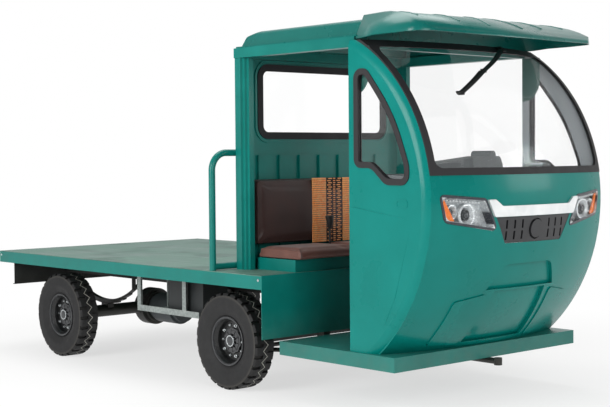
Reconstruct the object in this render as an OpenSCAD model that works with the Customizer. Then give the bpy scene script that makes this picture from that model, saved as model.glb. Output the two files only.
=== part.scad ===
// Electric platform truck: a flat load platform on a ladder chassis, with an
// open-sided cab hung ahead of the front axle.
// Millimetres. X forward, Y to the truck's left, Z up, ground at Z = 0.
// Every module is drawn from the platform's front edge; place() moves it to the origin.

/* [Platform] */
// Platform's reach behind the rear axle
rear_overhang = 665; // [640:5:700]
// Width of the load platform
platform_w = 1900; // [1880:10:2000]
// Height of the deck's top above the ground
deck_h = 750; // [745:1:770]
// Thickness of the deck sheet
deck_t = 4; // [3:0.5:6]
// Depth of the platform's edge channel
frame_h = 80; // [70:1:84]
// Flange width of the edge channel and cross members
frame_flange = 40; // [36:1:50]
// Wall of the edge channel
frame_t = 5; // [4:0.5:7]
// Strip of deck under the cab, from the front edge back
cab_deck_l = 515; // [513:1:540]

/* [Chassis] */
// Depth of the main rails
rail_h = 100; // [90:1:110]
// Width of the main rails
rail_w = 50; // [46:1:60]
// Wall of the main rails
rail_t = 6; // [5:0.5:8]
// Centre line of each main rail
rail_y = 420; // [410:1:430]

/* [Cab floor] */
// Length of the cab floor ahead of the platform
floor_l = 950; // [940:1:1000]
// Width of the cab floor
floor_w = 1620; // [1600:1:1680]
// Height of the cab floor's top above the ground
floor_h = 350; // [348:1:356]
// Depth of the cab floor's edge
floor_edge = 82; // [70:1:84]

/* [Cab shell] */
// Width over the cab's side panels
cab_w = 1580; // [1570:1:1600]
// Thickness of the side panels
side_t = 25; // [20:1:28]
// Thickness of the moulded front
shell_t = 8; // [6:0.5:10]
// Furthest point of the nose ahead of the platform
nose_x = 1296; // [1290:1:1310]
// Height of the furthest point of the nose
nose_z = 1192; // [1185:1:1200]
// Radius of the nose below that point
nose_low_r = 1147; // [1140:1:1160]
// Radius of the nose above that point
nose_up_r = 1068; // [1064:1:1080]
// Plan radius of the front at that point
plan_r = 2670; // [2600:10:2800]
// Radius of the cab's upright front corners
corner_r = 87; // [78:1:92]
// Depth of the pressed recesses low on the front
recess_d = 20; // [14:1:24]
// Front edge of the door openings
door_x = 585; // [575:1:590]
// Underside of the windscreen seal
screen_z = 1345; // [1340:1:1350]
// Top of the moulded front
shell_top = 2104; // [2100:1:2108]

/* [Cab back and roof] */
// Rear face of the cab's back wall behind the front edge
back_x = 463; // [455:1:465]
// Depth of the back wall's pressed ribs
rib_d = 16; // [10:1:20]
// Underside of the roof rails
roof_rail_z = 2066; // [2060:1:2068]
// Depth of the roof rails
roof_rail_h = 60; // [50:1:64]
// Top of the roof
roof_top = 2236; // [2220:1:2250]
// Reach of the visor ahead of the platform
visor_x = 1145; // [1120:1:1170]
// Half width of the visor
visor_y = 788; // [780:1:800]

/* [Seat] */
// Top of the seat cushions
seat_h = 890; // [880:1:900]
// Top of the seat box
seat_box_h = 824; // [815:1:830]
// Top of the backrest
backrest_h = 1316; // [1280:1:1330]

/* [Axles] */
// Front axle behind the platform's front edge
front_axle_x = 475; // [470:1:485]
// Distance between the axles
wheelbase = 1945; // [1900:1:1990]
// Outer diameter of the tyres
tyre_d = 606; // [600:1:612]
// Section width of the tyres
tyre_w = 160; // [152:1:166]
// Height of the tread lugs
lug_h = 16; // [12:1:18]
// Number of lugs on each shoulder
lug_count = 26; // [22:1:28]
// Centre plane of each wheel
wheel_y = 770; // [768:1:776]
// Kingpin axis from the middle
kingpin_y = 650; // [646:1:654]
// Length of the steering arms
steer_arm = 130; // [124:1:134]

/* [Hidden] */
$fn = 64;
front_fn = 480;
gap = 0.2;
pivot_gap = 0.06;
loose_gap = 0.5;
far = 4000;

rear_axle_x = front_axle_x + wheelbase;
platform_l = rear_axle_x + rear_overhang;
wheel_z = tyre_d / 2;
frame_z = deck_h - deck_t - frame_h;
rail_z = frame_z - rail_h;
frame_inner = platform_w / 2 - frame_flange;
floor_t = 4;
floor_z = floor_h - floor_edge;
floor_wall = 5;
post_x = 64;
cross_back = [560, 1030, 1540, 2050, 2560];
board_inset = 120;
board_h = 168;
board_lip = 20;
board_side = 53;
// Tail lamp: depth, width and height
tail_lamp = [30, 160, 80];
tail_lamp_in = 170;
hoop_r = 21;
hoop_wall = 3;
hoop_bend = 110;
hoop_h = 729;
hoop_inset = 25;
tray_x = [-cross_back[2], -850];
tray_y = [470, 760];
tray_z = 405;
tray_leg = 40;
tray_t = 4;
// Battery box: length, width and height
battery = [380, 204, 231];
battery_inset = 10;
bulkhead_t = 4;
bulkhead_lift = 20;

side_y = cab_w / 2;
side_in = side_y - side_t;
nose_axis = nose_x - plan_r;
shell_back = 300;
corner_y = side_y - corner_r;
corner_lift = 6;
corner_over = 1;
seam_foot_y = 682;
seam_z = 930;
// Arched recess: half width low and high, foot, top and corner radius
arch = [300, 205, 700, 842, 60];
// Skirt recess: half width high and low, top, foot and corner radius
skirt = [225, 268, 690, 384, 10];
// Proud field beside the skirt: inner and outer edge and height at the top, the same at the foot, radius
flank = [282, 505, 676, 640, 300, 520, 384, 372, 24];
flank_out = 7;
// Pressed fields on the sides: rear edge, front corners; heights from the top down; how far they stand out
relief_x = [612, 1066, 940, 860];
relief_z = [1167, 1103, 679, 525];
relief_out = [5, 3];
// Pressed ring on the sides: place in X and Z, length, height, width of its line, how far it stands out
stamp = [993, 1192, 88, 46, 8, 2];
// Quarter window corners: X, Z, radius, then what each grows by
quarter_form = [
    [663, 1420, 16, -1, -1, 1], [663, 1905, 22, -1, 1, 1], [712, 1905, 34, 0.5, 1, 1],
    [905, 1668, 1000, 1, 0.5, 0], [1016, 1400, 160, 1, 0, 0], [1014, 1326, 26, 1, -1, 1],
    [884, 1326, 90, -0.33, -1, 0], [764, 1420, 90, 0, -1, 0]];
quarter_hole = 22;
quarter_seal = [0, 34];
quarter_glass = 8;
quarter_lip = 6;
// Lamp corners: Y, Z, radius, then what each grows by
lamp_form = [[718, 1243, 26, 1, 1], [684, 1092, 44, 1, -1], [318, 1034, 22, -1, -1], [412, 1215, 26, -1, 1]];
panel_cut = 3;
lamp_fit = 2;
lamp_out = 3;
lens_t = 5;
lens_gap = 0.5;
bowl_depth = 45;
bowl_wall = 3;
lamp_depth = 60;
lamp_wall = 8;
lamp_edge = 12;
// Reflector bowls: Y, Z and radius
bowls = [[525, 1128, 62], [624, 1146, 40]];
grille_z = [966, 1108];
grille_y = [247, 330];
grille_slots = [118, 182, 246];
grille_slot = [14, 48];
boss_r = 52;
boss_groove = 8;
bar_z = [1113, 1172, 1210];
bar_y = [352, 300, 352, 403];
seal_w = 40;
seal_d = 14;
glass_t = 6;
bar_out = 14;
bar_r = [8, 6, 20];
grille_r = 14;
grille_d = [2, 24];
slot_d = 16;
boss_d = [-6, 20];
screen_lip = 4;
screen_r = 46;
glass_in = 2;
glass_edge = 12;
wiper_pivot = [250, shell_top - 16];
wiper_knee = [-140, 1933];
wiper_tip = [-418, 1797];
wiper_w = 12;
// Depths of the wiper parts, less than zero being ahead of the glass
wiper_arm_d = [-28, -14];
wiper_blade_d = [-15, 2];
wiper_cap_d = [-32, -4];

wall_t = 3;
pillar_in = 690;
rear_win = [1110, 430];
rear_win_z = 1802;
rear_win_r = 62;
rear_seal = 22;
// Bead around the rear window: inner and outer distance from the opening
bead = [30, 46];
bead_h = 8;
rib_pitch = 175;
rib_w = 120;
rib_top = 1462;
seal_lip = 7;
seal_groove = 8;
// Steps of the pillar section: distance forward and inward
pillar_steps = [[0, 0], [53, 0], [57, 15], [77, 15], [81, 30], [100, 30]];
pillar_set = 33;
pillar_t = 4;
roof_rail_w = 62;
roof_rail_t = 4;
roof_bow = 40;
roof_front = 606;
roof_y = 742;
roof_shoulder_y = 706;
roof_gutter = 22;
roof_lip = 8;
roof_sag = 12;
roof_back = 412;
roof_edge_r = 34;
roof_rise = 20;
// Rear edge and slope of the roof: distance forward, drop and radius
roof_tail = [22, 42, 22];
roof_slope = [150, 8, 60];
roof_end = 6;
roof_t = 5;
visor_back = 620;
visor_crown_x = 779;
visor_shoulder = 700;
visor_corner = 100;
visor_lip_z = 2122;
visor_lip = 10;
visor_crown = 8;
visor_t = 5;
visor_drop = 30;
visor_steps = 6;
visor_fall = 118;
visor_r = arc_r(visor_fall, visor_x - visor_crown_x);
visor_turn = asin((visor_x - visor_crown_x) / visor_r);
visor_rise = [10, 16];
visor_rim = 8;
visor_dip = 12;
point = 1;

seat_y = 670;
seat_front = 35;
seat_back_x = 364;
seat_split = [-175, -125];
backrest = [372, back_x - wall_t - rib_d];
cushion_r = [6, 14, 22, 12];
seat_box_x = [-376, -21];
seat_box_y = 659;
seat_box_t = 3;
backrest_r = 30;
backrest_gap = 4;
mat_gap = 2;
lever_x = 255;
// Gear lever foot: radius and height
lever_base = [20, 26];
lever_r = 7;
lever_h = 170;
lever_knob = [[0, 0, 0], [10, 0, 3], [25, 58, 18], [16, 86, 14], [0, 88, 0]];
knob_seat = 10;
pedal_y = 170;
// Pedal parts: X, half width and Z above the floor
pedal_foot = [[590, 650], 30, [0, 8]];
pedal_stem = [[612, 622], 10, [8, 130]];
pedal_pad = [[598, 612], 38, [70, 150]];
dash_x = [720, 790, 1080];
dash_z = [1010, 1300, 1352, 1335];
dash_r = [20, 40, 30, 20, 10];
dash_t = 7;
hood_x = [700, 850];
// Instrument hood and its knob
hood = [
    [-400, 1330, 0], [-390, 1396, 20], [-230, 1416, 60], [90, 1446, 60], [215, 1446, 24], [240, 1400, 24],
    [250, 1330, 0]];
hood_knob = [150, 1452, 26];
side_hood = [[610, 1330, 0], [630, 1392, 20], [700, 1402, 20], [740, 1330, 0]];
mat_t = 6;
mat_y = 200;

axle_half = 35;
axle_tube_r = 45;
spindle_r = 20;
spindle_end = 28;
hub_flange_r = 105;
hub_flange_t = 8;
rear_flange = 98;
front_flange = 76;
// Differential case: radius and half length of its two steps
diff_r = [118, 140];
diff_half = [85, 50];
// Motor steps: radius, start and end
motor = [[100, 0, 40], [112, 40, 280], [95, 280, 320]];
spring_w = 36;
spring_leaves = 4;
spring_step = 0.2;
// Spring pad: half length, half width and depth
spring_pad = [45, 25, 22];
spring_block = 8;
spring_bite = 5;
spring_eye_r = 18;
hanger_half = 22;
hanger_t = 6;
hanger_low = 24;
spring_half = 380;
spring_leaf = 8;
spring_drop = 60;
spring_seat_z = wheel_z + axle_tube_r + spring_block + spring_leaves * spring_leaf;
spring_eye_z = rail_z - spring_drop;
spring_r = arc_r(spring_eye_z - spring_seat_z, spring_half);

rim_r = tyre_d * 0.2475;
// Rim section: distance from the bead seat and from the middle plane
rim_form_pts = [
    [4, -58], [4, -54], [0, -52], [0, 52], [4, 54], [4, 58], [-8, 58], [-8, 50], [-22, 30], [-26, 4],
    [-34, -6], [-20, -14], [-8, -30], [-8, -58]];
// Discs of the wheel: radius, start and height
rim_dish = [26, -6, 10];
rim_hub = [44, -54, 76];
rim_plate = [78, 3, 14];
rim_cap = [34, 0, 36];
brake_drum = [112, 102, -54, -5];
brake_plate = 7;
// Half of the tyre section: [radius, distance from the middle plane, corner radius]
tyre_half = [
    [rim_r + gap, 50, 2], [rim_r + 8, 52, 4], [rim_r + 20, 62, 8], [rim_r + 65, tyre_w / 2, 44],
    [wheel_z - 20, tyre_w / 2 - 4, 12], [wheel_z, tyre_w / 2 - 14, 6]];
lug_slot = 24;
lug_rib = 14;
axle_x_half = 28;
// Kingpin boss: radius and half height
kingpin_boss = [28, 38];
knuckle_r = 30;
knuckle_in = 34;
pin_r = 12;
ear = [40.5, 62];
stud_r = 9;
arm_t = 16;
arm_w = 36;
pitman_r = 24;
pitman_rise = 40;
tow_r = 18;
// Tow eye: radius and half height
tow_eye = [24, 21];
tow_pin_r = 10;
// Tow bar: reach behind and ahead of the floor edge
tow_reach = [280, 58];
arm_z = wheel_z - ear[1];
link_r = 14;
link_top = arm_z - 6;
ball_h = 32;
ball_r = 18;

column_x = 420;
column_lean = 15;
column_l = 640;
column_z = floor_h + 96;
// Steering box: half length and half width
column_box = [55, 50];
column_boss = [34, -20, 60];
column_tube_r = 24;
column_pin_r = 12;
column_bare = 60;
wheel_rim_r = 190;
wheel_grip_r = 14;
// Steering wheel hub: radius, start and height; spoke: width, height and start
wheel_hub = [36, -45, 60];
wheel_spoke = [26, 10, 20];
wheel_socket = 4;
floor_hole = 6;
shaft_r = 15;

function unit(v) = v / norm(v);

// Corner b of the path a-b-c, rounded to the radius held as its third entry
function corner(a, b, c, n) =
    let (o = [b[0], b[1]], u = unit([a[0], a[1]] - o), v = unit([c[0], c[1]] - o),
         half = acos(u * v) / 2, r = b[2],
         m = o + unit(u + v) * r / sin(half),
         p = o + u * r / tan(half) - m, q = o + v * r / tan(half) - m,
         from = atan2(p[1], p[0]), raw = atan2(q[1], q[0]) - from,
         turn = raw > 180 ? raw - 360 : raw < -180 ? raw + 360 : raw)
    r == 0 ? [o] : [for (k = [0:n]) m + r * [cos(from + turn * k / n), sin(from + turn * k / n)]];

// Outline through [x, y, radius] points
function rounded(pts, n = 6) =
    let (c = len(pts))
    [for (i = [0:c - 1]) each corner(pts[(i + c - 1) % c], pts[i], pts[(i + 1) % c], n)];

// Radius of the arc that falls by drop over the length run, from a level start
function arc_r(drop, run) = (drop * drop + run * run) / (2 * drop);

// Radius of the front about its vertical axis at height z
function front_r(z) =
    let (r = z < nose_z ? nose_low_r : nose_up_r)
    plan_r - r + sqrt(r * r - (z - nose_z) * (z - nose_z));

// Point of the moulded front at y and z, moved out by d
function on_front(y, z, d = 0) =
    let (r = front_r(z) + d)
    [nose_axis + sqrt(r * r - y * y), y, z];

corner_x = on_front(corner_y, nose_z)[0] + corner_lift;
corner_low_r = arc_r(on_front(corner_y, nose_z)[0] - on_front(corner_y, floor_h)[0], nose_z - floor_h);
corner_up_r = arc_r(on_front(corner_y, nose_z)[0] - on_front(corner_y, shell_top)[0], shell_top - nose_z);

module place() { translate([(platform_l - nose_x - bar_out) / 2, 0, 0]) children(); }

module box(x, y, z) {
    translate([x[0], y[0], z[0]]) cube([x[1] - x[0], y[1] - y[0], z[1] - z[0]]);
}

module both_sides() {
    children();
    mirror([0, 1, 0]) children();
}

module x_rod(r, x, y, z) { translate([x[0], y, z]) rotate([0, 90, 0]) cylinder(r = r, h = x[1] - x[0]); }
module y_rod(r, x, y, z) { translate([x, y[0], z]) rotate([-90, 0, 0]) cylinder(r = r, h = y[1] - y[0]); }
module z_rod(r, x, y, z) { translate([x, y, z[0]]) cylinder(r = r, h = z[1] - z[0]); }

// Round bar from point a to point b
module bar(a, b, r) {
    d = b - a;
    translate(a)
        rotate([0, acos(d[2] / norm(d)), atan2(d[1], d[0])])
            cylinder(r = r, h = norm(d));
}

// An X-Z outline drawn across the truck
module across(y) { translate([0, y[1], 0]) rotate([90, 0, 0]) linear_extrude(y[1] - y[0]) children(); }

// A Y-Z outline drawn along the truck
module along(x) { translate([x[0], 0, 0]) rotate([90, 0, 90]) linear_extrude(x[1] - x[0]) children(); }

module channel(w, h, t) {
    difference() {
        square([w, h]);
        translate([t, t]) square([w, h - 2 * t]);
    }
}

module tube(w, h, t) {
    difference() {
        square([w, h]);
        translate([t, t]) square([w - 2 * t, h - 2 * t]);
    }
}

module round_rect(w, h, r) {
    square([w - 2 * r, h], center = true);
    square([w, h - 2 * r], center = true);
    for (x = [-1, 1], y = [-1, 1]) translate([x * (w / 2 - r), y * (h / 2 - r)]) circle(r);
}

// The moulded front as a solid, its face drawn back by d
module front_body(d) {
    $fn = front_fn;
    translate([nose_axis, 0, 0]) rotate([0, 0, -30]) rotate_extrude(angle = 60)
        intersection() {
            union() {
                intersection() {
                    translate([plan_r - nose_low_r, nose_z]) circle(nose_low_r - d);
                    translate([0, nose_z - far]) square([far, far]);
                }
                intersection() {
                    translate([plan_r - nose_up_r, nose_z]) circle(nose_up_r - d);
                    translate([0, nose_z]) square([far, far]);
                }
            }
            translate([plan_r - nose_x + shell_back, floor_h - 200]) square([far, far]);
        }
}

// What rounds an upright corner on the left, below or above the nose, as a ring of radius r
module corner_cut(r, low) {
    $fn = front_fn;
    intersection() {
        translate([corner_x - r, 0, nose_z]) rotate([90, 0, 0]) rotate_extrude() difference() {
            translate([r - corner_r, -2 * side_y + corner_y]) square(2 * corner_r);
            translate([r - corner_r, -corner_y]) circle(corner_r + corner_over);
        }
        box([0, far], [-far, far], low ? [nose_z - far, nose_z] : [nose_z, nose_z + far]);
    }
}

// A layer of the moulded front between two depths
module front_skin(d0, d1) {
    difference() {
        front_body(d0);
        front_body(d1);
    }
}

// Platform

module load_deck() color("#6f8f83")
    box([-platform_l, -cab_deck_l], [-platform_w / 2, platform_w / 2], [deck_h - deck_t, deck_h]);

module cab_deck() color("#3f7f74")
    box([-cab_deck_l + gap, 0], [-platform_w / 2, platform_w / 2], [deck_h - deck_t, deck_h]);

module platform_frame() color("#0c6a62") {
    both_sides() {
        along([-platform_l, 0]) translate([-platform_w / 2, frame_z]) channel(frame_flange, frame_h, frame_t);
        for (x = [-platform_l, -frame_t])
            box([x, x + frame_t], [-platform_w / 2, -frame_inner], [frame_z, frame_z + frame_h]);
    }
    across([-frame_inner + gap, frame_inner - gap]) {
        translate([0, frame_z]) mirror([1, 0]) channel(frame_flange, frame_h, frame_t);
        translate([-platform_l, frame_z]) channel(frame_flange, frame_h, frame_t);
    }
}

module cross_members() color("#1d2221")
    for (x = cross_back)
        across([-frame_inner + gap, frame_inner - gap])
            translate([-x, frame_z]) channel(frame_flange, frame_h, frame_t);

module main_rails() color("#1d2221")
    both_sides()
        along([-platform_l + board_inset + frame_t, 0])
            translate([-rail_y - rail_w / 2, rail_z]) channel(rail_w, rail_h, rail_t);

module drop_posts() color("#1d2221")
    both_sides()
        translate([-post_x, rail_y - rail_w / 2, floor_z])
            linear_extrude(rail_z - floor_z) tube(post_x, rail_w, rail_t);

module bulkhead_panel() color("#0c6a62")
    box([0, bulkhead_t], [-platform_w / 2, platform_w / 2], [floor_h + bulkhead_lift, deck_h]);

module rear_board() color("#1d2221") {
    x = -platform_l + board_inset;
    y = [-platform_w / 2 + board_side, platform_w / 2 - board_side];
    box([x, x + frame_t], y, [frame_z - board_h, frame_z]);
    box([x - board_lip, x], y, [frame_z - board_h, frame_z - board_h + frame_t]);
}

module tail_lamps() color("#a01818") {
    x = -platform_l + board_inset;
    y = platform_w / 2 - tail_lamp_in;
    z = frame_z - board_h / 2;
    both_sides()
        box([x - tail_lamp[0], x], [y - tail_lamp[1], y], [z - tail_lamp[2] / 2, z + tail_lamp[2] / 2]);
}

module hoop_path(r, foot) {
    x = -cab_deck_l + hoop_inset;
    leg_y = platform_w / 2 - hoop_inset;
    top_z = deck_h + hoop_h;
    both_sides() {
        z_rod(r, x, leg_y, [deck_h - foot, top_z - hoop_bend]);
        translate([x, leg_y - hoop_bend, top_z - hoop_bend]) rotate([90, 0, 90])
            rotate_extrude(angle = 90) translate([hoop_bend, 0]) circle(r);
    }
    y_rod(r, x, [-leg_y, leg_y], deck_h + hoop_inset);
    y_rod(r, x, [-leg_y + hoop_bend, leg_y - hoop_bend], top_z);
}

module guard_hoop() color("#0f7d73")
    difference() {
        hoop_path(hoop_r, 0);
        hoop_path(hoop_r - hoop_wall, 1);
    }

// Chassis underneath

module battery_trays() color("#8f9794") {
    z = tray_z;
    leg = tray_leg;
    t = tray_t;
    both_sides() {
        for (inner = [true, false]) {
            edge = inner ? [tray_y[0], tray_y[0] + t] : [tray_y[1] - t, tray_y[1]];
            foot = inner ? [tray_y[0], tray_y[0] + leg] : [tray_y[1] - leg, tray_y[1]];
            box(tray_x, edge, [z, z + leg]);
            box(tray_x, foot, [z, z + t]);
            for (back = [cross_back[2], cross_back[1]]) {
                box([-back, -back + t], foot, [z, frame_z]);
                box([-back, -back + leg], edge, [z, frame_z]);
            }
        }
        for (x = [tray_x[0], tray_x[1] - battery_inset - battery[0] - t, tray_x[1] - leg])
            box([x, x + leg], tray_y, [z, z + t]);
    }
}

module battery_boxes() color("#2b2f30") {
    x = tray_x[1] - battery_inset;
    y = (tray_y[0] + tray_y[1]) / 2;
    z = tray_z + tray_t;
    both_sides()
        box([x - battery[0], x], [y - battery[1] / 2, y + battery[1] / 2], [z, z + battery[2]]);
}

module rear_axle() color("#1b1f1f") {
    flange_y = wheel_y - rear_flange;
    y_rod(axle_tube_r, -rear_axle_x, [-flange_y, flange_y], wheel_z);
    for (k = [0, 1])
        x_rod(diff_r[k], [-rear_axle_x - diff_half[k], -rear_axle_x + diff_half[k]], 0, wheel_z);
    both_sides() {
        y_rod(hub_flange_r, -rear_axle_x, [flange_y, flange_y + hub_flange_t], wheel_z);
        y_rod(spindle_r, -rear_axle_x, [flange_y + hub_flange_t, wheel_y + spindle_end], wheel_z);
    }
}

module drive_motor() color("#3a3f42") {
    front = -rear_axle_x + diff_half[0];
    for (m = motor) x_rod(m[0], [front + m[1], front + m[2]], 0, wheel_z);
}

// One leaf spring at x, standing on an axle whose top is at seat_z; round cuts it over an axle tube
module leaf_spring(x, seat_z, round) {
    pad = spring_pad;
    across([rail_y - spring_w / 2, rail_y + spring_w / 2])
        for (k = [0:spring_leaves - 1]) {
            half = spring_half * (1 - spring_step * k);
            intersection() {
                translate([x, spring_seat_z + spring_r]) difference() {
                    circle(spring_r + spring_leaf * (k + 1));
                    circle(spring_r + spring_leaf * k);
                }
                translate([x - half, 0]) square([2 * half, rail_z]);
            }
        }
    difference() {
        box([x - pad[0], x + pad[0]], [rail_y - pad[1], rail_y + pad[1]],
            [seat_z - pad[2], spring_seat_z - spring_leaves * spring_leaf + spring_bite]);
        if (round) y_rod(axle_tube_r + gap, x, [0, far], wheel_z);
    }
    for (end = [-1, 1]) {
        eye = x + end * spring_half;
        y_rod(spring_eye_r, eye, [rail_y - pad[1], rail_y + pad[1]], spring_eye_z);
        for (y = [rail_y - pad[1], rail_y + pad[1] - hanger_t])
            box([eye - hanger_half, eye + hanger_half], [y, y + hanger_t],
                [spring_eye_z - hanger_low, rail_z]);
    }
}

module leaf_springs() color("#202424")
    both_sides() {
        leaf_spring(-rear_axle_x, wheel_z + axle_tube_r, true);
        leaf_spring(-front_axle_x, wheel_z + axle_half + spring_pad[2], false);
    }

module front_axle() color("#1b1f1f") {
    x = [-front_axle_x - axle_x_half, -front_axle_x + axle_x_half];
    boss = kingpin_boss;
    difference() {
        union() {
            box(x, [-kingpin_y, kingpin_y], [wheel_z - axle_half, wheel_z + axle_half]);
            both_sides() z_rod(boss[0], -front_axle_x, kingpin_y, [wheel_z - boss[1], wheel_z + boss[1]]);
        }
        both_sides() {
            z_rod(pin_r + pivot_gap, -front_axle_x, kingpin_y, [0, far]);
            difference() {
                box([x[0] - 1, x[1] + 1], [kingpin_y, kingpin_y + 2 * boss[0]], [0, far]);
                z_rod(boss[0], -front_axle_x, kingpin_y, [0, far]);
            }
        }
    }
}

// Front knuckle on the left; drag adds the arm that the drag link pulls
module knuckle(stud_hole, drag) {
    x = -front_axle_x;
    body_x = [x - axle_x_half, x + axle_x_half];
    flange_y = wheel_y - front_flange;
    difference() {
        union() {
            for (z = [[ear[0], ear[1]], [-ear[1], -ear[0]]]) {
                z_rod(knuckle_r, x, kingpin_y, [wheel_z + z[0], wheel_z + z[1]]);
                box(body_x, [kingpin_y, flange_y], [wheel_z + z[0], wheel_z + z[1]]);
            }
            z_rod(pin_r, x, kingpin_y, [wheel_z - ear[1], wheel_z + ear[1]]);
            box(body_x, [kingpin_y + knuckle_in, flange_y + hub_flange_t],
                [wheel_z - ear[1], wheel_z + ear[1]]);
            y_rod(hub_flange_r, x, [flange_y, flange_y + hub_flange_t], wheel_z);
            y_rod(spindle_r, x, [flange_y, wheel_y + spindle_end], wheel_z);
            box([x - steer_arm, x], [kingpin_y - arm_w / 2, kingpin_y + arm_w / 2], [arm_z, arm_z + arm_t]);
            z_rod(arm_w / 2, x - steer_arm, kingpin_y, [arm_z, arm_z + arm_t]);
            if (drag) {
                box([x - arm_w / 2, x + arm_w / 2], [kingpin_y - steer_arm, kingpin_y],
                    [arm_z, arm_z + arm_t]);
                z_rod(arm_w / 2, x, kingpin_y - steer_arm, [arm_z, arm_z + arm_t]);
            }
        }
        z_rod(stud_r + stud_hole, x - steer_arm, kingpin_y, [0, arm_z + arm_t + 1]);
        if (drag) z_rod(stud_r + loose_gap, x, kingpin_y - steer_arm, [0, arm_z + arm_t + 1]);
    }
}

module knuckle_left() color("#26292a") knuckle(loose_gap, false);
module knuckle_right() color("#26292a") mirror([0, 1, 0]) knuckle(pivot_gap, true);

// Ball joint under an arm's eye
module ball_joint(x, y) {
    z_rod(ball_r, x, y, [link_top - ball_h, link_top]);
    z_rod(stud_r, x, y, [link_top - 1, arm_z + arm_t + stud_r]);
}

module tie_rod() color("#2f3334") {
    x = -front_axle_x - steer_arm;
    y_rod(link_r, x, [-kingpin_y, kingpin_y], link_top - ball_h / 2);
    for (y = [-kingpin_y, kingpin_y]) ball_joint(x, y);
}

module drag_link() color("#2f3334") {
    a = [column_x, steer_arm];
    b = [-front_axle_x, -kingpin_y + steer_arm];
    z = link_top - ball_h / 2;
    bar([a[0], a[1], z], [b[0], b[1], z], link_r);
    for (p = [a, b]) ball_joint(p[0], p[1]);
}

module pitman_arm() color("#26292a")
    difference() {
        union() {
            z_rod(pitman_r, column_x, 0, [arm_z, arm_z + arm_t]);
            box([column_x - arm_w / 2, column_x + arm_w / 2], [0, steer_arm], [arm_z, arm_z + arm_t]);
            z_rod(arm_w / 2, column_x, steer_arm, [arm_z, arm_z + arm_t]);
            z_rod(shaft_r, column_x, 0, [arm_z, floor_h + pitman_rise]);
        }
        z_rod(stud_r + pivot_gap, column_x, steer_arm, [0, floor_z]);
    }

module tow_bar() color("#1b1c1c") {
    z = floor_z - tow_r;
    tip = floor_l + tow_reach[1];
    difference() {
        union() {
            x_rod(tow_r, [floor_l - tow_reach[0], tip], 0, z);
            z_rod(tow_eye[0], tip, 0, [z - tow_eye[1], z + tow_eye[1]]);
        }
        z_rod(tow_pin_r, tip, 0, [0, floor_h]);
    }
}

// Cab floor, seat and controls

module cab_floor() color("#0f7d73") {
    y = [-floor_w / 2, floor_w / 2];
    difference() {
        box([0, floor_l], y, [floor_z, floor_h]);
        box([floor_wall, floor_l - floor_wall], [y[0] + floor_wall, y[1] - floor_wall],
            [0, floor_h - floor_t]);
        z_rod(shaft_r + floor_hole, column_x, 0, [0, far]);
    }
    both_sides() along([floor_wall - 1, floor_l - floor_wall + 1])
        translate([rail_y - rail_w / 2, floor_z]) channel(rail_w, floor_edge - floor_t + 1, rail_t);
}

module seat_box() color("#0c6a62") {
    t = seat_box_t;
    difference() {
        box(seat_box_x, [-seat_box_y, seat_box_y], [deck_h, seat_box_h]);
        box([seat_box_x[0] + t, seat_box_x[1] - t], [-seat_box_y + t, seat_box_y - t], [0, seat_box_h - t]);
    }
}

module cushion(y)
    across(y) polygon(rounded([
        [-seat_back_x, seat_box_h, cushion_r[0]], [seat_front, seat_box_h, cushion_r[1]],
        [seat_front, seat_h, cushion_r[2]], [-seat_back_x, seat_h, cushion_r[3]]]));

module seat_cushions() color("#7d4a2c") {
    cushion([-seat_y, seat_split[0]]);
    cushion([seat_split[1], seat_y]);
}

module seat_back() color("#5d3822") {
    low = seat_h + backrest_gap;
    along([-backrest[1], -backrest[0]]) translate([0, (low + backrest_h) / 2])
        round_rect(2 * (seat_y - backrest_gap), backrest_h - low, backrest_r);
}

module seat_mat() color("#c8742c")
    box([-backrest[0], -backrest[0] + mat_t], [-mat_y, mat_y], [seat_h + mat_gap, backrest_h - mat_gap]);

module gear_lever() color("#151616") {
    y = (seat_split[0] + seat_split[1]) / 2;
    foot = seat_box_h + lever_base[1];
    top = seat_box_h + lever_h;
    z_rod(lever_base[0], -lever_x, y, [seat_box_h, foot]);
    z_rod(lever_r, -lever_x, y, [foot, top]);
    translate([-lever_x, y, top - knob_seat]) rotate_extrude() polygon(rounded(lever_knob));
}

module pedals() color("#1a1c1c")
    for (y = [-pedal_y, pedal_y], p = [pedal_foot, pedal_stem, pedal_pad])
        box(p[0], [y - p[1], y + p[1]], [floor_h + p[2][0], floor_h + p[2][1]]);

// Lifts its children onto the leaning column axis
module on_column() translate([column_x, 0, column_z]) rotate([0, -column_lean, 0]) children();

module steering_column() color("#1f2322")
    difference() {
        union() {
            box([column_x - column_box[0], column_x + column_box[0]], [-column_box[1], column_box[1]],
                [floor_h, column_z]);
            on_column() {
                translate([0, 0, column_boss[1]]) cylinder(r = column_boss[0], h = column_boss[2]);
                cylinder(r = column_tube_r, h = column_l - column_bare);
                cylinder(r = column_pin_r, h = column_l);
            }
        }
        z_rod(shaft_r + pivot_gap, column_x, 0, [0, floor_h + pitman_rise + floor_hole]);
    }

module steering_wheel() color("#141515")
    on_column() difference() {
        union() {
            translate([0, 0, column_l]) rotate_extrude() translate([wheel_rim_r, 0]) circle(wheel_grip_r);
            translate([0, 0, column_l + wheel_hub[1]]) cylinder(r = wheel_hub[0], h = wheel_hub[2]);
            for (a = [90, 210, 330])
                rotate([0, 0, a]) translate([wheel_spoke[2], -wheel_spoke[0] / 2, column_l - wheel_spoke[1]])
                    cube([wheel_rim_r - wheel_spoke[2], wheel_spoke[0], wheel_spoke[1]]);
        }
        translate([0, 0, column_l - column_bare])
            cylinder(r = column_pin_r + pivot_gap, h = column_bare + wheel_socket);
    }

// Dashboard outline, drawn in by t and opened downward
function dash_outline(t) = [
    [dash_x[0] + t, dash_z[0] - t, dash_r[0]], [dash_x[0] + t, dash_z[1], dash_r[1]],
    [dash_x[1], dash_z[2] - t, dash_r[2]], [dash_x[2] - t, dash_z[3] - t, dash_r[3]],
    [dash_x[2] - t, dash_z[0] - t, dash_r[4]]];

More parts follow.
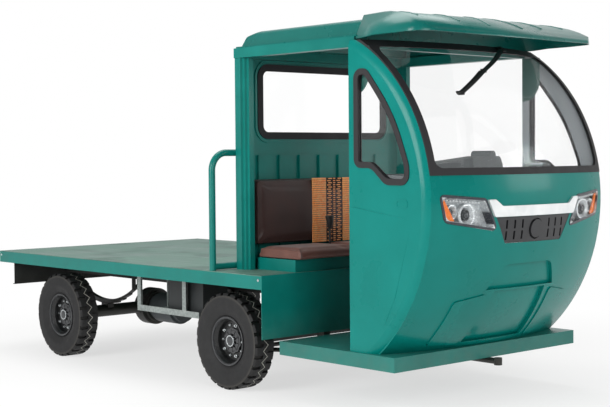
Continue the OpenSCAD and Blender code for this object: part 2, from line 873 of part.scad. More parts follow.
module dashboard() color("#54585a") {
    difference() {
        across([-side_in + gap, side_in - gap]) polygon(rounded(dash_outline(0)));
        across([-side_in + dash_t, side_in - dash_t]) polygon(rounded(dash_outline(dash_t)));
        box([0, far], [-side_in + dash_t, side_in - dash_t], [0, dash_z[0] + dash_r[0]]);
    }
    along(hood_x) {
        polygon(rounded(hood));
        translate([hood_knob[0], hood_knob[1]]) circle(hood_knob[2]);
        polygon(rounded(side_hood));
    }
}

// Cab back, pillars and roof

module back_window(w)
    translate([0, rear_win_z])
        round_rect(rear_win[0] + 2 * w, rear_win[1] + 2 * w, rear_win_r + w);

module back_wall() color("#0f7d73") {
    half = rib_w / 2;
    difference() {
        union() {
            box([-back_x, -back_x + wall_t], [-pillar_in + gap, pillar_in - gap], [deck_h, roof_rail_z]);
            for (k = [-3:3], y = k * rib_pitch)
                box([-back_x, -back_x + wall_t + rib_d], [y - half, y + half], [deck_h, rib_top]);
            along([-back_x, -back_x + wall_t + bead_h]) difference() {
                back_window(bead[1]);
                back_window(bead[0]);
            }
        }
        for (k = [-3:3], y = k * rib_pitch)
            box([-back_x - 1, -back_x + rib_d], [y - half + wall_t, y + half - wall_t],
                [0, rib_top - wall_t]);
        along([-far, 0]) back_window(0);
    }
}

module rear_seal_ring()
    difference() {
        along([-back_x - seal_lip, -back_x + wall_t + seal_lip]) difference() {
            back_window(rear_seal);
            back_window(-rear_seal);
        }
        along([-back_x - gap, -back_x + wall_t + gap]) difference() {
            back_window(2 * rear_seal);
            back_window(-gap);
        }
        along([-back_x - gap, -back_x + wall_t + gap]) back_window(-seal_groove);
    }

module b_pillars() color("#12877c") {
    o = side_y - pillar_set;
    depth = pillar_steps[len(pillar_steps) - 1];
    both_sides() translate([0, 0, deck_h]) linear_extrude(roof_rail_z - deck_h) difference() {
        polygon(concat(
            [[-back_x, pillar_in]], [for (p = pillar_steps) [-back_x + p[0], o - p[1]]],
            [[-back_x + depth[0], pillar_in]]));
        translate([-back_x + pillar_t, pillar_in + pillar_t])
            square([depth[0] - 2 * pillar_t, o - depth[1] - pillar_in - 2 * pillar_t]);
    }
}

module roof_rails() color("#0f7d73") {
    w = roof_rail_w;
    y = side_in - gap - w;
    both_sides() along([-back_x, roof_front])
        translate([y, roof_rail_z]) tube(w, roof_rail_h, roof_rail_t);
    for (x = [-back_x, roof_front - roof_bow])
        across([-y + gap, y - gap]) translate([x, roof_rail_z]) tube(roof_bow, roof_rail_h, roof_rail_t);
}

// Roof outline across and along the truck, drawn in by d; its gutter stays outside
function roof_yz(d, z) =
    let (gutter = d > 0 ? roof_y - d : roof_y + roof_gutter, lip = z + roof_lip,
         top = roof_top - roof_sag - d)
    [[-gutter, z, 0], [gutter, z, 0], [gutter, lip, 0], [roof_y - d, lip, 0],
     [roof_shoulder_y - d, top, roof_edge_r], [0, top + roof_rise, 0],
     [-roof_shoulder_y + d, top, roof_edge_r],
     [-roof_y + d, lip, 0], [-gutter, lip, 0]];

function roof_xz(d, z) =
    let (back = -roof_back + d, gutter = d > 0 ? back : back - roof_gutter - roof_end, lip = z + roof_lip,
         front = visor_back - d)
    [[gutter, z, 0], [front, z, 0], [front, roof_top + roof_sag - d, 0],
     [back + roof_slope[0], roof_top - roof_slope[1] - d, roof_slope[2]],
     [back + roof_tail[0], roof_top - roof_tail[1] - d, roof_tail[2]], [back, lip, 0], [gutter, lip, 0]];

module roof_form(d, z) {
    intersection() {
        along([-far, far]) polygon(rounded(roof_yz(d, z)));
        across([-far, far]) polygon(rounded(roof_xz(d, z)));
    }
}

module roof() color("#14897e") {
    z = roof_rail_z + roof_rail_h;
    difference() {
        roof_form(0, z);
        translate([0, 0, -1]) roof_form(roof_t, z);
    }
}

// Rows of the visor from its back to its lip: [x, half width, shoulder half width, shoulder z, lip z]
function visor_rows(d) = concat(
    [[visor_back + gap + point / 2 + d, side_in - d, visor_shoulder - d, roof_top + visor_rise[0] - d,
      visor_lip_z - visor_dip]],
    [for (k = [0:visor_steps])
        let (a = visor_turn * k / visor_steps, x = visor_crown_x + visor_r * sin(a),
             out = max(0, x - visor_x + visor_corner),
             y = visor_y - visor_corner + sqrt(visor_corner * visor_corner - out * out),
             shoulder = visor_shoulder + (visor_y - visor_shoulder) * k / visor_steps)
        [min(x, visor_x - d), y - d, min(shoulder, y - visor_rim) - d,
         roof_top + visor_rise[1] - visor_r * (1 - cos(a)) - d, visor_lip_z]]);

// Visor form, drawn in by d and opened downward by drop
module visor_form(d, drop)
    hull() for (r = visor_rows(d)) {
        for (s = [-1, 1], p = [[r[1], r[4] - drop], [r[1], r[4] + visor_lip - d], [r[2], r[3]]])
            translate([r[0], s * p[0], p[1]]) cube(point, center = true);
        translate([r[0], 0, r[3] + visor_crown]) cube(point, center = true);
    }

module visor() color("#14897e")
    difference() {
        visor_form(0, 0);
        visor_form(visor_t, visor_drop);
    }

// Cab front

// Quarter window outline, drawn out by w
function quarter(w) = rounded([for (p = quarter_form) [p[0] + p[3] * w, p[1] + p[4] * w, p[2] + p[5] * w]]);

// The front between the seams, drawn out by w, in Y and Z
module front_zone(w)
    polygon([
        [-seam_foot_y - w, floor_h - 1], [seam_foot_y + w, floor_h - 1], [side_in + w, seam_z],
        [side_in + w, shell_top + 1], [-side_in - w, shell_top + 1], [-side_in - w, seam_z]]);

module arch_outline(w)
    polygon(rounded([
        [-arch[0] - w, arch[2] - w, 0], [arch[0] + w, arch[2] - w, 0],
        [arch[1] + w, arch[3] + w, arch[4]], [-arch[1] - w, arch[3] + w, arch[4]]]));

module skirt_outline(w)
    polygon(rounded([
        [-skirt[0] - w, skirt[2] + w, skirt[4]], [skirt[0] + w, skirt[2] + w, skirt[4]],
        [skirt[1] + w, skirt[3] - w, skirt[4]], [-skirt[1] - w, skirt[3] - w, skirt[4]]]));

module flank_outline()
    polygon(rounded([
        [flank[0], flank[2], flank[8]], [flank[1], flank[3], flank[8]],
        [flank[5], flank[6], flank[8]], [flank[4], flank[7], flank[8]]]));

module recesses(w) {
    arch_outline(w);
    skirt_outline(w);
}

module front_panel() color("#0f8277")
    difference() {
        union() {
            intersection() {
                front_skin(0, shell_t);
                along([shell_back, far]) front_zone(-gap);
                box([shell_back, far], [-side_in, side_in], [floor_h, screen_z - gap]);
            }
            intersection() {
                front_skin(0, recess_d + shell_t);
                along([shell_back, far]) recesses(shell_t);
            }
            intersection() {
                front_skin(-flank_out, 1);
                along([shell_back, far]) {
                    flank_outline();
                    mirror([1, 0]) flank_outline();
                }
            }
        }
        intersection() {
            front_skin(-1, recess_d);
            along([shell_back, far]) recesses(0);
        }
        along([shell_back, far]) {
            lamp_outlines(panel_cut);
            grille_outline(panel_cut);
        }
    }

// A pressed field on the side between two heights, fading out forward
module side_field(outline, out)
    intersection() {
        across([side_y - 1, side_y + out]) polygon(outline);
        linear_extrude(far) polygon([
            [relief_x[0], side_y - 1], [relief_x[0], side_y + out], [relief_x[1], side_y],
            [relief_x[1], side_y - 1]]);
    }

module side_panel() {
    difference() {
        intersection() {
            front_body(0);
            box([door_x, far], [side_in, side_y], [floor_h, shell_top]);
        }
        corner_cut(corner_low_r, true);
        corner_cut(corner_up_r, false);
        across([0, far]) polygon(quarter(quarter_hole));
    }
    difference() {
        intersection() {
            front_skin(0, shell_t);
            box([door_x, far], [0, side_in + 1], [floor_h, seam_z]);
        }
        along([0, far]) front_zone(0);
    }
    side_field([
        [relief_x[0], relief_z[2]], [relief_x[0], relief_z[0]], [relief_x[1], relief_z[1]],
        [relief_x[2], relief_z[2]]], relief_out[0]);
    side_field([
        [relief_x[0], relief_z[3]], [relief_x[0], relief_z[2] + 1], [relief_x[2], relief_z[2] + 1],
        [relief_x[3], relief_z[3]]], relief_out[1]);
    across([side_y - 1, side_y + stamp[5]]) translate([stamp[0], stamp[1]]) difference() {
        round_rect(stamp[2], stamp[3], stamp[3] / 2.2);
        round_rect(stamp[2] - 2 * stamp[4], stamp[3] - 2 * stamp[4], stamp[3] / 2.2 - stamp[4]);
    }
}

module side_panels() color("#0f8277") both_sides() side_panel();

module window_seals() color("#2b2d2e") {
    glass_y = side_in + quarter_glass;
    rear_seal_ring();
    both_sides() difference() {
        across([side_in, side_y + quarter_lip]) difference() {
            polygon(quarter(quarter_seal[1]));
            polygon(quarter(quarter_seal[0]));
        }
        across([side_in - 1, side_y + gap]) difference() {
            polygon(quarter(2 * quarter_seal[1]));
            polygon(quarter(quarter_hole - loose_gap));
        }
        across([glass_y - gap, glass_y + glass_t + gap]) polygon(quarter(quarter_glass));
    }
}

module window_glass() color("#b9cfcb", 0.35) {
    glass_y = side_in + quarter_glass;
    along([-back_x, -back_x + wall_t]) back_window(-seal_groove - gap);
    both_sides() across([glass_y, glass_y + glass_t]) polygon(quarter(quarter_glass - loose_gap));
}

module screen_area(w) {
    translate([0, (screen_z + shell_top) / 2])
        round_rect(2 * (side_in - gap - seal_w + w), shell_top - screen_z - 2 * seal_w + 2 * w, screen_r);
}

module windscreen_seal() color("#2b2a29")
    difference() {
        intersection() {
            front_skin(-screen_lip, seal_d);
            box([shell_back, far], [-side_in + gap, side_in - gap], [screen_z, shell_top]);
        }
        along([0, far]) screen_area(0);
        intersection() {
            front_skin(glass_in - gap, glass_in + glass_t + gap);
            along([0, far]) screen_area(glass_edge + gap);
        }
    }

module windscreen_glass() color("#c4d6d3", 0.35)
    intersection() {
        front_skin(glass_in, glass_in + glass_t);
        along([0, far]) screen_area(glass_edge);
    }

module lamp_outline(w)
    polygon(rounded([for (p = lamp_form) [p[0] + p[3] * w, p[1] + p[4] * w, p[2]]]));

module lamp_outlines(w) {
    lamp_outline(w);
    mirror([1, 0]) lamp_outline(w);
}

module grille_outline(w)
    polygon(rounded([
        [-grille_y[1] - w, grille_z[1] + w, 0], [-grille_y[0] - w, grille_z[0] - w, grille_r],
        [grille_y[0] + w, grille_z[0] - w, grille_r], [grille_y[1] + w, grille_z[1] + w, 0]]));

// A round reflector bowl standing on the back of a lamp, at y and z
module lamp_bowl(y, z, r) {
    x = on_front(y, z, -lamp_depth)[0];
    difference() {
        x_rod(r, [x + bowl_wall, x + bowl_depth], y, z);
        translate([x + lamp_wall, y, z]) rotate([0, 90, 0])
            cylinder(r1 = r / 3, r2 = r - bowl_wall, h = bowl_depth);
    }
}

module headlamps() color("#8b9194") {
    difference() {
        intersection() {
            front_skin(-lamp_out, lamp_depth);
            along([0, far]) lamp_outlines(lamp_fit);
        }
        intersection() {
            front_skin(-lamp_edge, lamp_depth - lamp_wall);
            along([0, far]) lamp_outlines(-lamp_edge);
        }
    }
    both_sides() intersection() {
        for (b = bowls) lamp_bowl(b[0], b[1], b[2]);
        front_body(lamp_edge);
        along([0, far]) lamp_outline(-lamp_edge + 1);
    }
}

module headlamp_lenses() color("#dfe8ea", 0.4)
    intersection() {
        front_skin(0, lens_t);
        along([0, far]) lamp_outlines(-lamp_edge - lens_gap);
    }

module grille() color("#121414") {
    mid = (grille_z[0] + grille_z[1]) / 2;
    difference() {
        intersection() {
            front_skin(grille_d[0], grille_d[1]);
            along([0, far]) grille_outline(lamp_fit);
        }
        intersection() {
            front_skin(-1, slot_d);
            along([0, far]) {
                for (y = grille_slots, side = [-1, 1], half = [-1, 1])
                    translate([side * y, mid + half * (grille_slot[1] / 2 + grille_slot[0] / 2)])
                        square(grille_slot, center = true);
                translate([0, mid]) difference() {
                    circle(boss_r + boss_groove);
                    circle(boss_r);
                }
            }
        }
    }
    intersection() {
        front_skin(boss_d[0], boss_d[1]);
        along([0, far]) translate([0, mid]) circle(boss_r);
    }
}

module grille_bar() color("#c6cccf")
    intersection() {
        front_skin(-bar_out, -gap);
        along([0, far]) polygon(rounded([
            [-bar_y[0], bar_z[0], bar_r[0]], [bar_y[0], bar_z[0], bar_r[0]], [bar_y[3], bar_z[2], bar_r[1]],
            [bar_y[2], bar_z[2], bar_r[2]], [bar_y[1], bar_z[1], bar_r[2]], [-bar_y[1], bar_z[1], bar_r[2]],
            [-bar_y[2], bar_z[2], bar_r[2]], [-bar_y[3], bar_z[2], bar_r[1]]]));
    }

// A straight strip of width w from a to b, in Y and Z
module strip(a, b, w) {
    d = b - a;
    translate(a) rotate(atan2(d[1], d[0])) translate([0, -w / 2]) square([norm(d), w]);
}

module wiper() color("#141515") {
    intersection() {
        front_skin(wiper_arm_d[0], wiper_arm_d[1]);
        along([shell_back, far]) {
            strip(wiper_pivot, wiper_knee, wiper_w);
            strip(wiper_knee, wiper_tip, wiper_w);
            for (p = [wiper_knee, wiper_tip]) translate(p) circle(wiper_w);
        }
    }
    intersection() {
        front_skin(wiper_blade_d[0], wiper_blade_d[1]);
        along([shell_back, far]) {
            translate(wiper_tip) circle(wiper_w);
            strip(wiper_knee, wiper_tip, wiper_w / 2);
        }
    }
    intersection() {
        front_skin(wiper_cap_d[0], wiper_cap_d[1]);
        along([shell_back, far]) translate(wiper_pivot) circle(1.4 * wiper_w);
    }
}

// Wheels

// Left wheel on the axle at x; the right one is its mirror image
module at_wheel(x) translate([-x, wheel_y, wheel_z]) rotate([-90, 0, 0]) children();

module tyre_form()
    difference() {
        rotate_extrude() polygon(rounded(concat(
            [for (p = tyre_half) [p[0], -p[1], p[2]]],
            [for (k = [len(tyre_half) - 1:-1:0]) tyre_half[k]]), 4));
        for (side = [0, 1], k = [0:lug_count - 1])
            mirror([0, 0, side]) rotate([0, 0, (k + side / 2) * 360 / lug_count])
                translate([wheel_z - lug_h, -lug_slot / 2, lug_rib]) cube([far, lug_slot, tyre_w]);
    }

module rim_form() {
    drum_h = brake_drum[3] - brake_drum[2];
    difference() {
        union() {
            rotate_extrude() polygon([for (p = rim_form_pts) [rim_r + p[0], p[1]]]);
            translate([0, 0, rim_dish[1]]) cylinder(r = rim_r - rim_dish[0], h = rim_dish[2]);
            for (part = [rim_hub, rim_plate, rim_cap])
                translate([0, 0, part[1]]) cylinder(r = part[0], h = part[2]);
            translate([0, 0, brake_drum[2]]) difference() {
                cylinder(r = brake_drum[0], h = drum_h);
                translate([0, 0, -1]) cylinder(r = brake_drum[1], h = drum_h - brake_plate + 1);
            }
        }
        translate([0, 0, rim_hub[1] - 1])
            cylinder(r = spindle_r + pivot_gap, h = 1 - rim_hub[1] + spindle_end + 2 * loose_gap);
    }
}

module tyre_front_left() color("#1f2021") at_wheel(front_axle_x) tyre_form();
module tyre_front_right() color("#1f2021") mirror([0, 1, 0]) at_wheel(front_axle_x) tyre_form();
module tyre_rear_left() color("#1f2021") at_wheel(rear_axle_x) tyre_form();
module tyre_rear_right() color("#1f2021") mirror([0, 1, 0]) at_wheel(rear_axle_x) tyre_form();
module rim_front_left() color("#17191a") at_wheel(front_axle_x) rim_form();
module rim_front_right() color("#17191a") mirror([0, 1, 0]) at_wheel(front_axle_x) rim_form();
module rim_rear_left() color("#17191a") at_wheel(rear_axle_x) rim_form();
module rim_rear_right() color("#17191a") mirror([0, 1, 0]) at_wheel(rear_axle_x) rim_form();

place() load_deck();
place() cab_deck();
place() platform_frame();
place() cross_members();
place() main_rails();
place() drop_posts();
place() bulkhead_panel();
place() rear_board();
place() tail_lamps();
place() guard_hoop();
place() battery_trays();
place() battery_boxes();
place() rear_axle();
place() drive_motor();
place() leaf_springs();
place() front_axle();
place() tow_bar();
place() cab_floor();
place() seat_box();
place() seat_cushions();
place() seat_back();
place() seat_mat();
place() gear_lever();
place() pedals();
place() steering_column();
place() dashboard();
place() back_wall();
place() b_pillars();
place() roof_rails();
place() roof();
place() visor();
place() front_panel();
place() side_panels();
place() window_seals();
place() window_glass();
place() windscreen_seal();
place() windscreen_glass();
place() headlamps();
place() headlamp_lenses();
place() grille();
place() grille_bar();
place() wiper();
place() knuckle_left();
place() knuckle_right();
place() tie_rod();
place() drag_link();
place() pitman_arm();
place() steering_wheel();
place() tyre_front_left();
place() rim_front_left();
place() tyre_front_right();
place() rim_front_right();
place() tyre_rear_left();
place() rim_rear_left();
place() tyre_rear_right();
place() rim_rear_right();
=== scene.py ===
import math

import bpy
from mathutils import Matrix, Vector


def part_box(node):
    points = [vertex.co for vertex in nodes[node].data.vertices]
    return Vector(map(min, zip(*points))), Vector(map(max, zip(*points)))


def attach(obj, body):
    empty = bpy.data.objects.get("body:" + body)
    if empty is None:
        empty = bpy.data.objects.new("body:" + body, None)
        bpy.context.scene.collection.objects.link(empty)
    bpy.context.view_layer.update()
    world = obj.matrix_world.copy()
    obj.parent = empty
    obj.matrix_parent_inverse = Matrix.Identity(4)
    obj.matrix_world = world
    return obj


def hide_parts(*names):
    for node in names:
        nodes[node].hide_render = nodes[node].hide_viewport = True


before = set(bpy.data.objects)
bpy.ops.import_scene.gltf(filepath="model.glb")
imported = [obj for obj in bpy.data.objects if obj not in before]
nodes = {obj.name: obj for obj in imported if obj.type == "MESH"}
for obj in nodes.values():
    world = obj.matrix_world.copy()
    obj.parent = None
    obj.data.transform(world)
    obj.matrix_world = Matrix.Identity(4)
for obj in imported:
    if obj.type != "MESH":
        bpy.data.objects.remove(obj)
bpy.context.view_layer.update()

# The photograph's camera: a long lens at eye height, off the truck's right front corner.
# Its place and turn were solved from the platform's corners and the wheels.
FOCAL_PIXELS, PHOTO_WIDE, SENSOR_WIDE = 1304.0, 610, 36.0
CAMERA_AT = (6.7417, -5.9142, 1.4581)
YAW, PITCH, ROLL = math.radians(42.2556), math.radians(2.1083), math.radians(-0.4551)
camera = bpy.data.objects.new("photo_camera", bpy.data.cameras.new("photo_camera"))
camera.data.sensor_width = SENSOR_WIDE
camera.data.lens = FOCAL_PIXELS / PHOTO_WIDE * SENSOR_WIDE
ahead = Vector((-math.cos(YAW) * math.cos(PITCH), math.sin(YAW) * math.cos(PITCH), -math.sin(PITCH)))
level_right = ahead.cross(Vector((0, 0, 1))).normalized()
level_up = level_right.cross(ahead)
right = level_right * math.cos(ROLL) + level_up * math.sin(ROLL)
up = level_up * math.cos(ROLL) - level_right * math.sin(ROLL)
camera.matrix_world = Matrix((right, up, -ahead)).transposed().to_4x4()
camera.location = CAMERA_AT
bpy.context.collection.objects.link(camera)
bpy.context.scene.camera = camera
bpy.context.scene.view_settings.view_transform = "Standard"


# The studio: a pale painted floor that runs out to plain white, a white room and soft boxes.
# The white that the camera sees, also through glass, comes from the ray's kind, not from more light,
# and the backdrop behind the truck mirrors brighter than the dark side where the camera stands.

def linear(code):
    """The linear colour of an sRGB hex code."""
    channels = [int(code[i:i + 2], 16) / 255 for i in (1, 3, 5)]
    return [c / 12.92 if c <= 0.04045 else ((c + 0.055) / 1.055) ** 2.4 for c in channels] + [1.0]


def add(owner, kind, links=None, **settings):
    """Adds a shader node to a material or world: links gives a socket its value or its source."""
    made = owner.node_tree.nodes.new("ShaderNode" + kind)
    for name, value in settings.items():
        setattr(made, name, value)
    for name, value in (links or {}).items():
        if isinstance(value, bpy.types.NodeSocket):
            owner.node_tree.links.new(value, made.inputs[name])
        else:
            made.inputs[name].default_value = value
    return made


def seen_white(owner):
    """One for rays on which the white studio shows: those from the camera and those through glass."""
    path = add(owner, "LightPath").outputs
    return add(owner, "Math", {
        0: path["Is Camera Ray"], 1: path["Is Transmission Ray"]}, operation="MAXIMUM").outputs[0]


world = bpy.data.worlds.new("white_studio")
bpy.context.scene.world = world
world.use_nodes = True
ROOM_LIGHT, DARK_SIDE, WHITE = 0.36, 0.14, 1.0
room = world.node_tree.nodes["Background"]
room.inputs["Color"].default_value = linear("#ffffff")
look = add(world, "TexCoord").outputs["Generated"]
behind = add(world, "VectorMath", {0: look, 1: ahead}, operation="DOT_PRODUCT").outputs["Value"]
backdrop = add(world, "MapRange", {
    "Value": behind, "From Min": -0.1, "From Max": 0.7, "To Min": DARK_SIDE, "To Max": WHITE}).outputs[0]
shine = add(world, "LightPath").outputs["Is Glossy Ray"]
around = add(world, "MapRange", {"Value": shine, "To Min": ROOM_LIGHT, "To Max": backdrop}).outputs[0]
level = add(world, "MapRange", {"Value": seen_white(world), "To Min": around, "To Max": WHITE})
world.node_tree.links.new(level.outputs[0], room.inputs["Strength"])

FLOOR_HALF, FLOOR_NEAR, FLOOR_FAR, FLOOR_LEAST_WHITE = 60.0, 1.2, 4.4, 0.64
bpy.ops.object.select_all(action="DESELECT")
bpy.ops.mesh.primitive_plane_add(size=2 * FLOOR_HALF)
floor = bpy.context.object
floor.name = "studio_floor"
floor_paint = bpy.data.materials.new("white_floor_paint")
floor_paint.use_nodes = True
floor_matte = floor_paint.node_tree.nodes["Principled BSDF"]
floor_matte.inputs["Base Color"].default_value = linear("#f6f6f5")
floor_matte.inputs["Roughness"].default_value = 0.9
floor_matte.inputs["Specular IOR Level"].default_value = 0.1
floor_at = add(floor_paint, "TexCoord")
floor_reach = add(floor_paint, "VectorMath", {0: floor_at.outputs["Object"]}, operation="LENGTH")
floor_fade = add(floor_paint, "MapRange", {
    "Value": floor_reach.outputs["Value"], "From Min": FLOOR_NEAR, "From Max": FLOOR_FAR,
    "To Min": FLOOR_LEAST_WHITE}, interpolation_type="SMOOTHSTEP")
floor_shine = add(floor_paint, "LightPath").outputs["Is Glossy Ray"]
floor_seen = add(floor_paint, "Math", {0: seen_white(floor_paint), 1: floor_shine}, operation="MAXIMUM")
floor_share = add(floor_paint, "Math", {
    0: floor_fade.outputs[0], 1: floor_seen.outputs[0]}, operation="MULTIPLY")
floor_white = add(floor_paint, "Emission", {"Color": linear("#ffffff"), "Strength": WHITE})
floor_mix = add(floor_paint, "MixShader", {
    0: floor_share.outputs[0], 1: floor_matte.outputs[0], 2: floor_white.outputs[0]})
floor_end = floor_paint.node_tree.nodes["Material Output"]
floor_paint.node_tree.links.new(floor_mix.outputs[0], floor_end.inputs["Surface"])
floor.data.materials.append(floor_paint)

SOFT_BOXES = (
    # name, place, aimed at, size, watts
    ("key_box", (0.6, -7.2, 3.2), (0.0, 0.0, 0.9), 3.6, 360),
    ("top_box", (-0.4, 0.2, 6.6), (0.0, 0.0, 0.8), 4.0, 190),
    ("front_box", (5.8, 4.2, 2.5), (1.9, 0.0, 1.2), 2.0, 65),
    ("fill_box", (7.0, -2.6, 3.0), (1.6, 0.0, 1.1), 3.0, 130),
)
for name, place, target, size, watts in SOFT_BOXES:
    lamp = bpy.data.objects.new(name, bpy.data.lights.new(name, "AREA"))
    lamp.data.size = size
    lamp.data.energy = watts
    lamp.location = place
    lamp.rotation_euler = (Vector(target) - Vector(place)).to_track_quat("-Z", "Y").to_euler()
    lamp.visible_camera = False
    bpy.context.collection.objects.link(lamp)


# Load platform: a folded steel edge channel, primed and sprayed with teal enamel, and the plate
# bulkhead welded across its front. The sprayed coat shows faint drift, orange peel and road dust.

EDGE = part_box("platform_frame")[1][0]


def at(x, y, z):
    """A point in metres from millimetres ahead of the platform's front edge, to the left and up."""
    return Vector((EDGE + x / 1000, y / 1000, z / 1000))


def per(mm):
    """Pattern scale at which one feature is that many millimetres wide."""
    return 1000.0 / mm


def finish_of(name, **sockets):
    """A new material with its shader's own sockets set; words in a socket's name are joined by _."""
    made = bpy.data.materials.new(name)
    made.use_nodes = True
    shader = made.node_tree.nodes["Principled BSDF"]
    for label, value in sockets.items():
        shader.inputs[label.replace("_", " ")].default_value = value
    return made


def feed(material, socket, source):
    """Links a source to a socket of the material's shader."""
    material.node_tree.links.new(source, material.node_tree.nodes["Principled BSDF"].inputs[socket])


def dress(material, *names):
    """Gives CAD nodes a finish."""
    for name in names:
        mesh = nodes[name].data
        mesh.materials.clear()
        mesh.materials.append(material)


def mottled(material, dark, light, patch, rough, grain, dent):
    """Colour that drifts between two tones over patches, with uneven gloss and a fine grain (mm)."""
    where = add(material, "TexCoord").outputs["Object"]
    drift = add(material, "TexNoise", {"Vector": where, "Scale": per(patch), "Detail": 5.0, "Roughness": 0.6})
    spread = add(material, "MapRange", {"Value": drift.outputs[0], "From Min": 0.32, "From Max": 0.68})
    tone = add(material, "Mix", {0: spread.outputs[0], 6: linear(dark), 7: linear(light)}, data_type="RGBA")
    feed(material, "Base Color", tone.outputs[2])
    gloss = add(material, "MapRange", {"Value": spread.outputs[0], "To Min": rough[0], "To Max": rough[1]})
    feed(material, "Roughness", gloss.outputs[0])
    peel = add(material, "TexNoise", {"Vector": where, "Scale": per(grain), "Detail": 2.0})
    bump = add(material, "Bump", {"Height": peel.outputs[0], "Strength": 0.3, "Distance": dent / 1000})
    feed(material, "Normal", bump.outputs[0])
    return tone.outputs[2]


def overlay(material, under, mask, code):
    """Lays a colour over another where a mask says, and makes it the material's colour."""
    laid = add(material, "Mix", {0: mask, 6: under, 7: linear(code)}, data_type="RGBA")
    feed(material, "Base Color", laid.outputs[2])
    return laid.outputs[2]


def low_dust(material, top):
    """Mask of road dust: patchy, strongest at the ground and gone at a height in metres."""
    where = add(material, "TexCoord").outputs["Object"]
    high = add(material, "SeparateXYZ", {0: where}).outputs["Z"]
    fall = add(material, "MapRange", {"Value": high, "From Min": top, "From Max": 0.0, "To Max": 0.55})
    cloud = add(material, "TexNoise", {"Vector": where, "Scale": per(70), "Detail": 6.0})
    return add(material, "Math", {0: fall.outputs[0], 1: cloud.outputs[0]}, operation="MULTIPLY").outputs[0]


# Sprayed enamel on folded steel: even teal, a soft gloss and slight peel, greyed by dust low down.
enamel = finish_of("teal_enamel", Specular_IOR_Level=0.3, Coat_Weight=0.05, Coat_Roughness=0.2)
coat = mottled(enamel, "#006a62", "#03786f", 320, (0.3, 0.44), 3, 0.06)
overlay(enamel, coat, low_dust(enamel, 0.55), "#7d7f74")
dress(enamel, "platform_frame", "bulkhead_panel")


# Deck: 4 mm steel plate laid on the cross members and stitch welded, painted and worn pale by loads.
# It is the platform's enamel under years of sliding crates.

# Rubbed enamel: greyer and duller than new, with long pale drag marks and dark damp patches.
deck_enamel = finish_of("worn_deck_enamel", Specular_IOR_Level=0.3)
worn = mottled(deck_enamel, "#44695f", "#628578", 420, (0.42, 0.62), 2, 0.08)
deck_at = add(deck_enamel, "TexCoord").outputs["Object"]
drag_map = add(deck_enamel, "Mapping", {"Vector": deck_at, "Scale": (per(900), per(14), 1.0)})
drags = add(deck_enamel, "TexNoise", {
    "Vector": drag_map.outputs[0], "Scale": 1.0, "Detail": 8.0, "Roughness": 0.7})
drag_mask = add(deck_enamel, "MapRange", {
    "Value": drags.outputs[0], "From Min": 0.56, "From Max": 0.72, "To Max": 0.5})
worn = overlay(deck_enamel, worn, drag_mask.outputs[0], "#b3c4bb")
damp = add(deck_enamel, "TexNoise", {"Vector": deck_at, "Scale": per(600), "Detail": 3.0})
damp_mask = add(deck_enamel, "MapRange", {
    "Value": damp.outputs[0], "From Min": 0.53, "From Max": 0.62, "To Max": 0.6})
overlay(deck_enamel, worn, damp_mask.outputs[0], "#33564d")
dress(deck_enamel, "load_deck", "cab_deck")


# Corner bolts: zinc-plated hexagon heads, one near each end of the platform's long sides,
# where the edge channel is pulled up at its corners.

def begin(primitive, scale=(1.0, 1.0, 1.0), **options):
    """Adds a primitive with nothing else selected, and puts its size and place into its mesh."""
    bpy.ops.object.select_all(action="DESELECT")
    primitive(**options)
    started = bpy.context.object
    started.scale = scale
    bpy.ops.object.transform_apply(location=True, rotation=True, scale=True)
    return started


def inset(width):
    """A step for shape: insets the picked faces."""
    return bpy.ops.mesh.inset, {"thickness": width}


def extrude(height):
    """A step for shape: extrudes the picked faces up, or down if less than nothing."""
    return bpy.ops.mesh.extrude_region_move, {"TRANSFORM_OT_translate": {"value": (0, 0, height)}}


def upward(centre, normal):
    """A test for shape: faces that look up."""
    return normal.z > 0.9


def shape(piece, test, *steps):
    """In edit mode, picks the faces whose centre and normal pass a test, then runs operators on them."""
    bpy.ops.object.select_all(action="DESELECT")
    piece.select_set(True)
    bpy.context.view_layer.objects.active = piece
    bpy.ops.object.mode_set(mode="EDIT")
    bpy.ops.mesh.select_mode(type="FACE")
    bpy.ops.mesh.select_all(action="DESELECT")
    bpy.ops.object.mode_set(mode="OBJECT")
    for face in piece.data.polygons:
        face.select = test(face.center, face.normal)
    bpy.ops.object.mode_set(mode="EDIT")
    for operator, options in steps:
        operator(**options)
    bpy.ops.object.mode_set(mode="OBJECT")


def ease(piece, width, segments=2):
    """Rounds a piece's sharp edges."""
    harden(piece, "BEVEL", width=width, segments=segments, limit_method="ANGLE")


def harden(piece, kind, **settings):
    """Adds a modifier with its settings and applies it."""
    bpy.ops.object.select_all(action="DESELECT")
    piece.select_set(True)
    bpy.context.view_layer.objects.active = piece
    modifier = piece.modifiers.new(kind.lower(), kind)
    for name, value in settings.items():
        setattr(modifier, name, value)
    bpy.ops.object.modifier_apply(modifier=modifier.name)


def repeat(piece, places):
    """Copies a piece to each place, every copy with its own mesh, and joins them into the piece."""
    bpy.ops.object.select_all(action="DESELECT")
    bpy.context.view_layer.objects.active = piece
    piece.select_set(True)
    bpy.ops.object.transform_apply(location=True, rotation=True, scale=True)
    for place in places[1:]:
        twin = bpy.data.objects.new(piece.name, piece.data.copy())
        twin.data.transform(place)
        bpy.context.collection.objects.link(twin)
        twin.select_set(True)
    piece.data.transform(places[0])
    bpy.context.view_layer.objects.active = piece
    if len(places) > 1:
        bpy.ops.object.join()


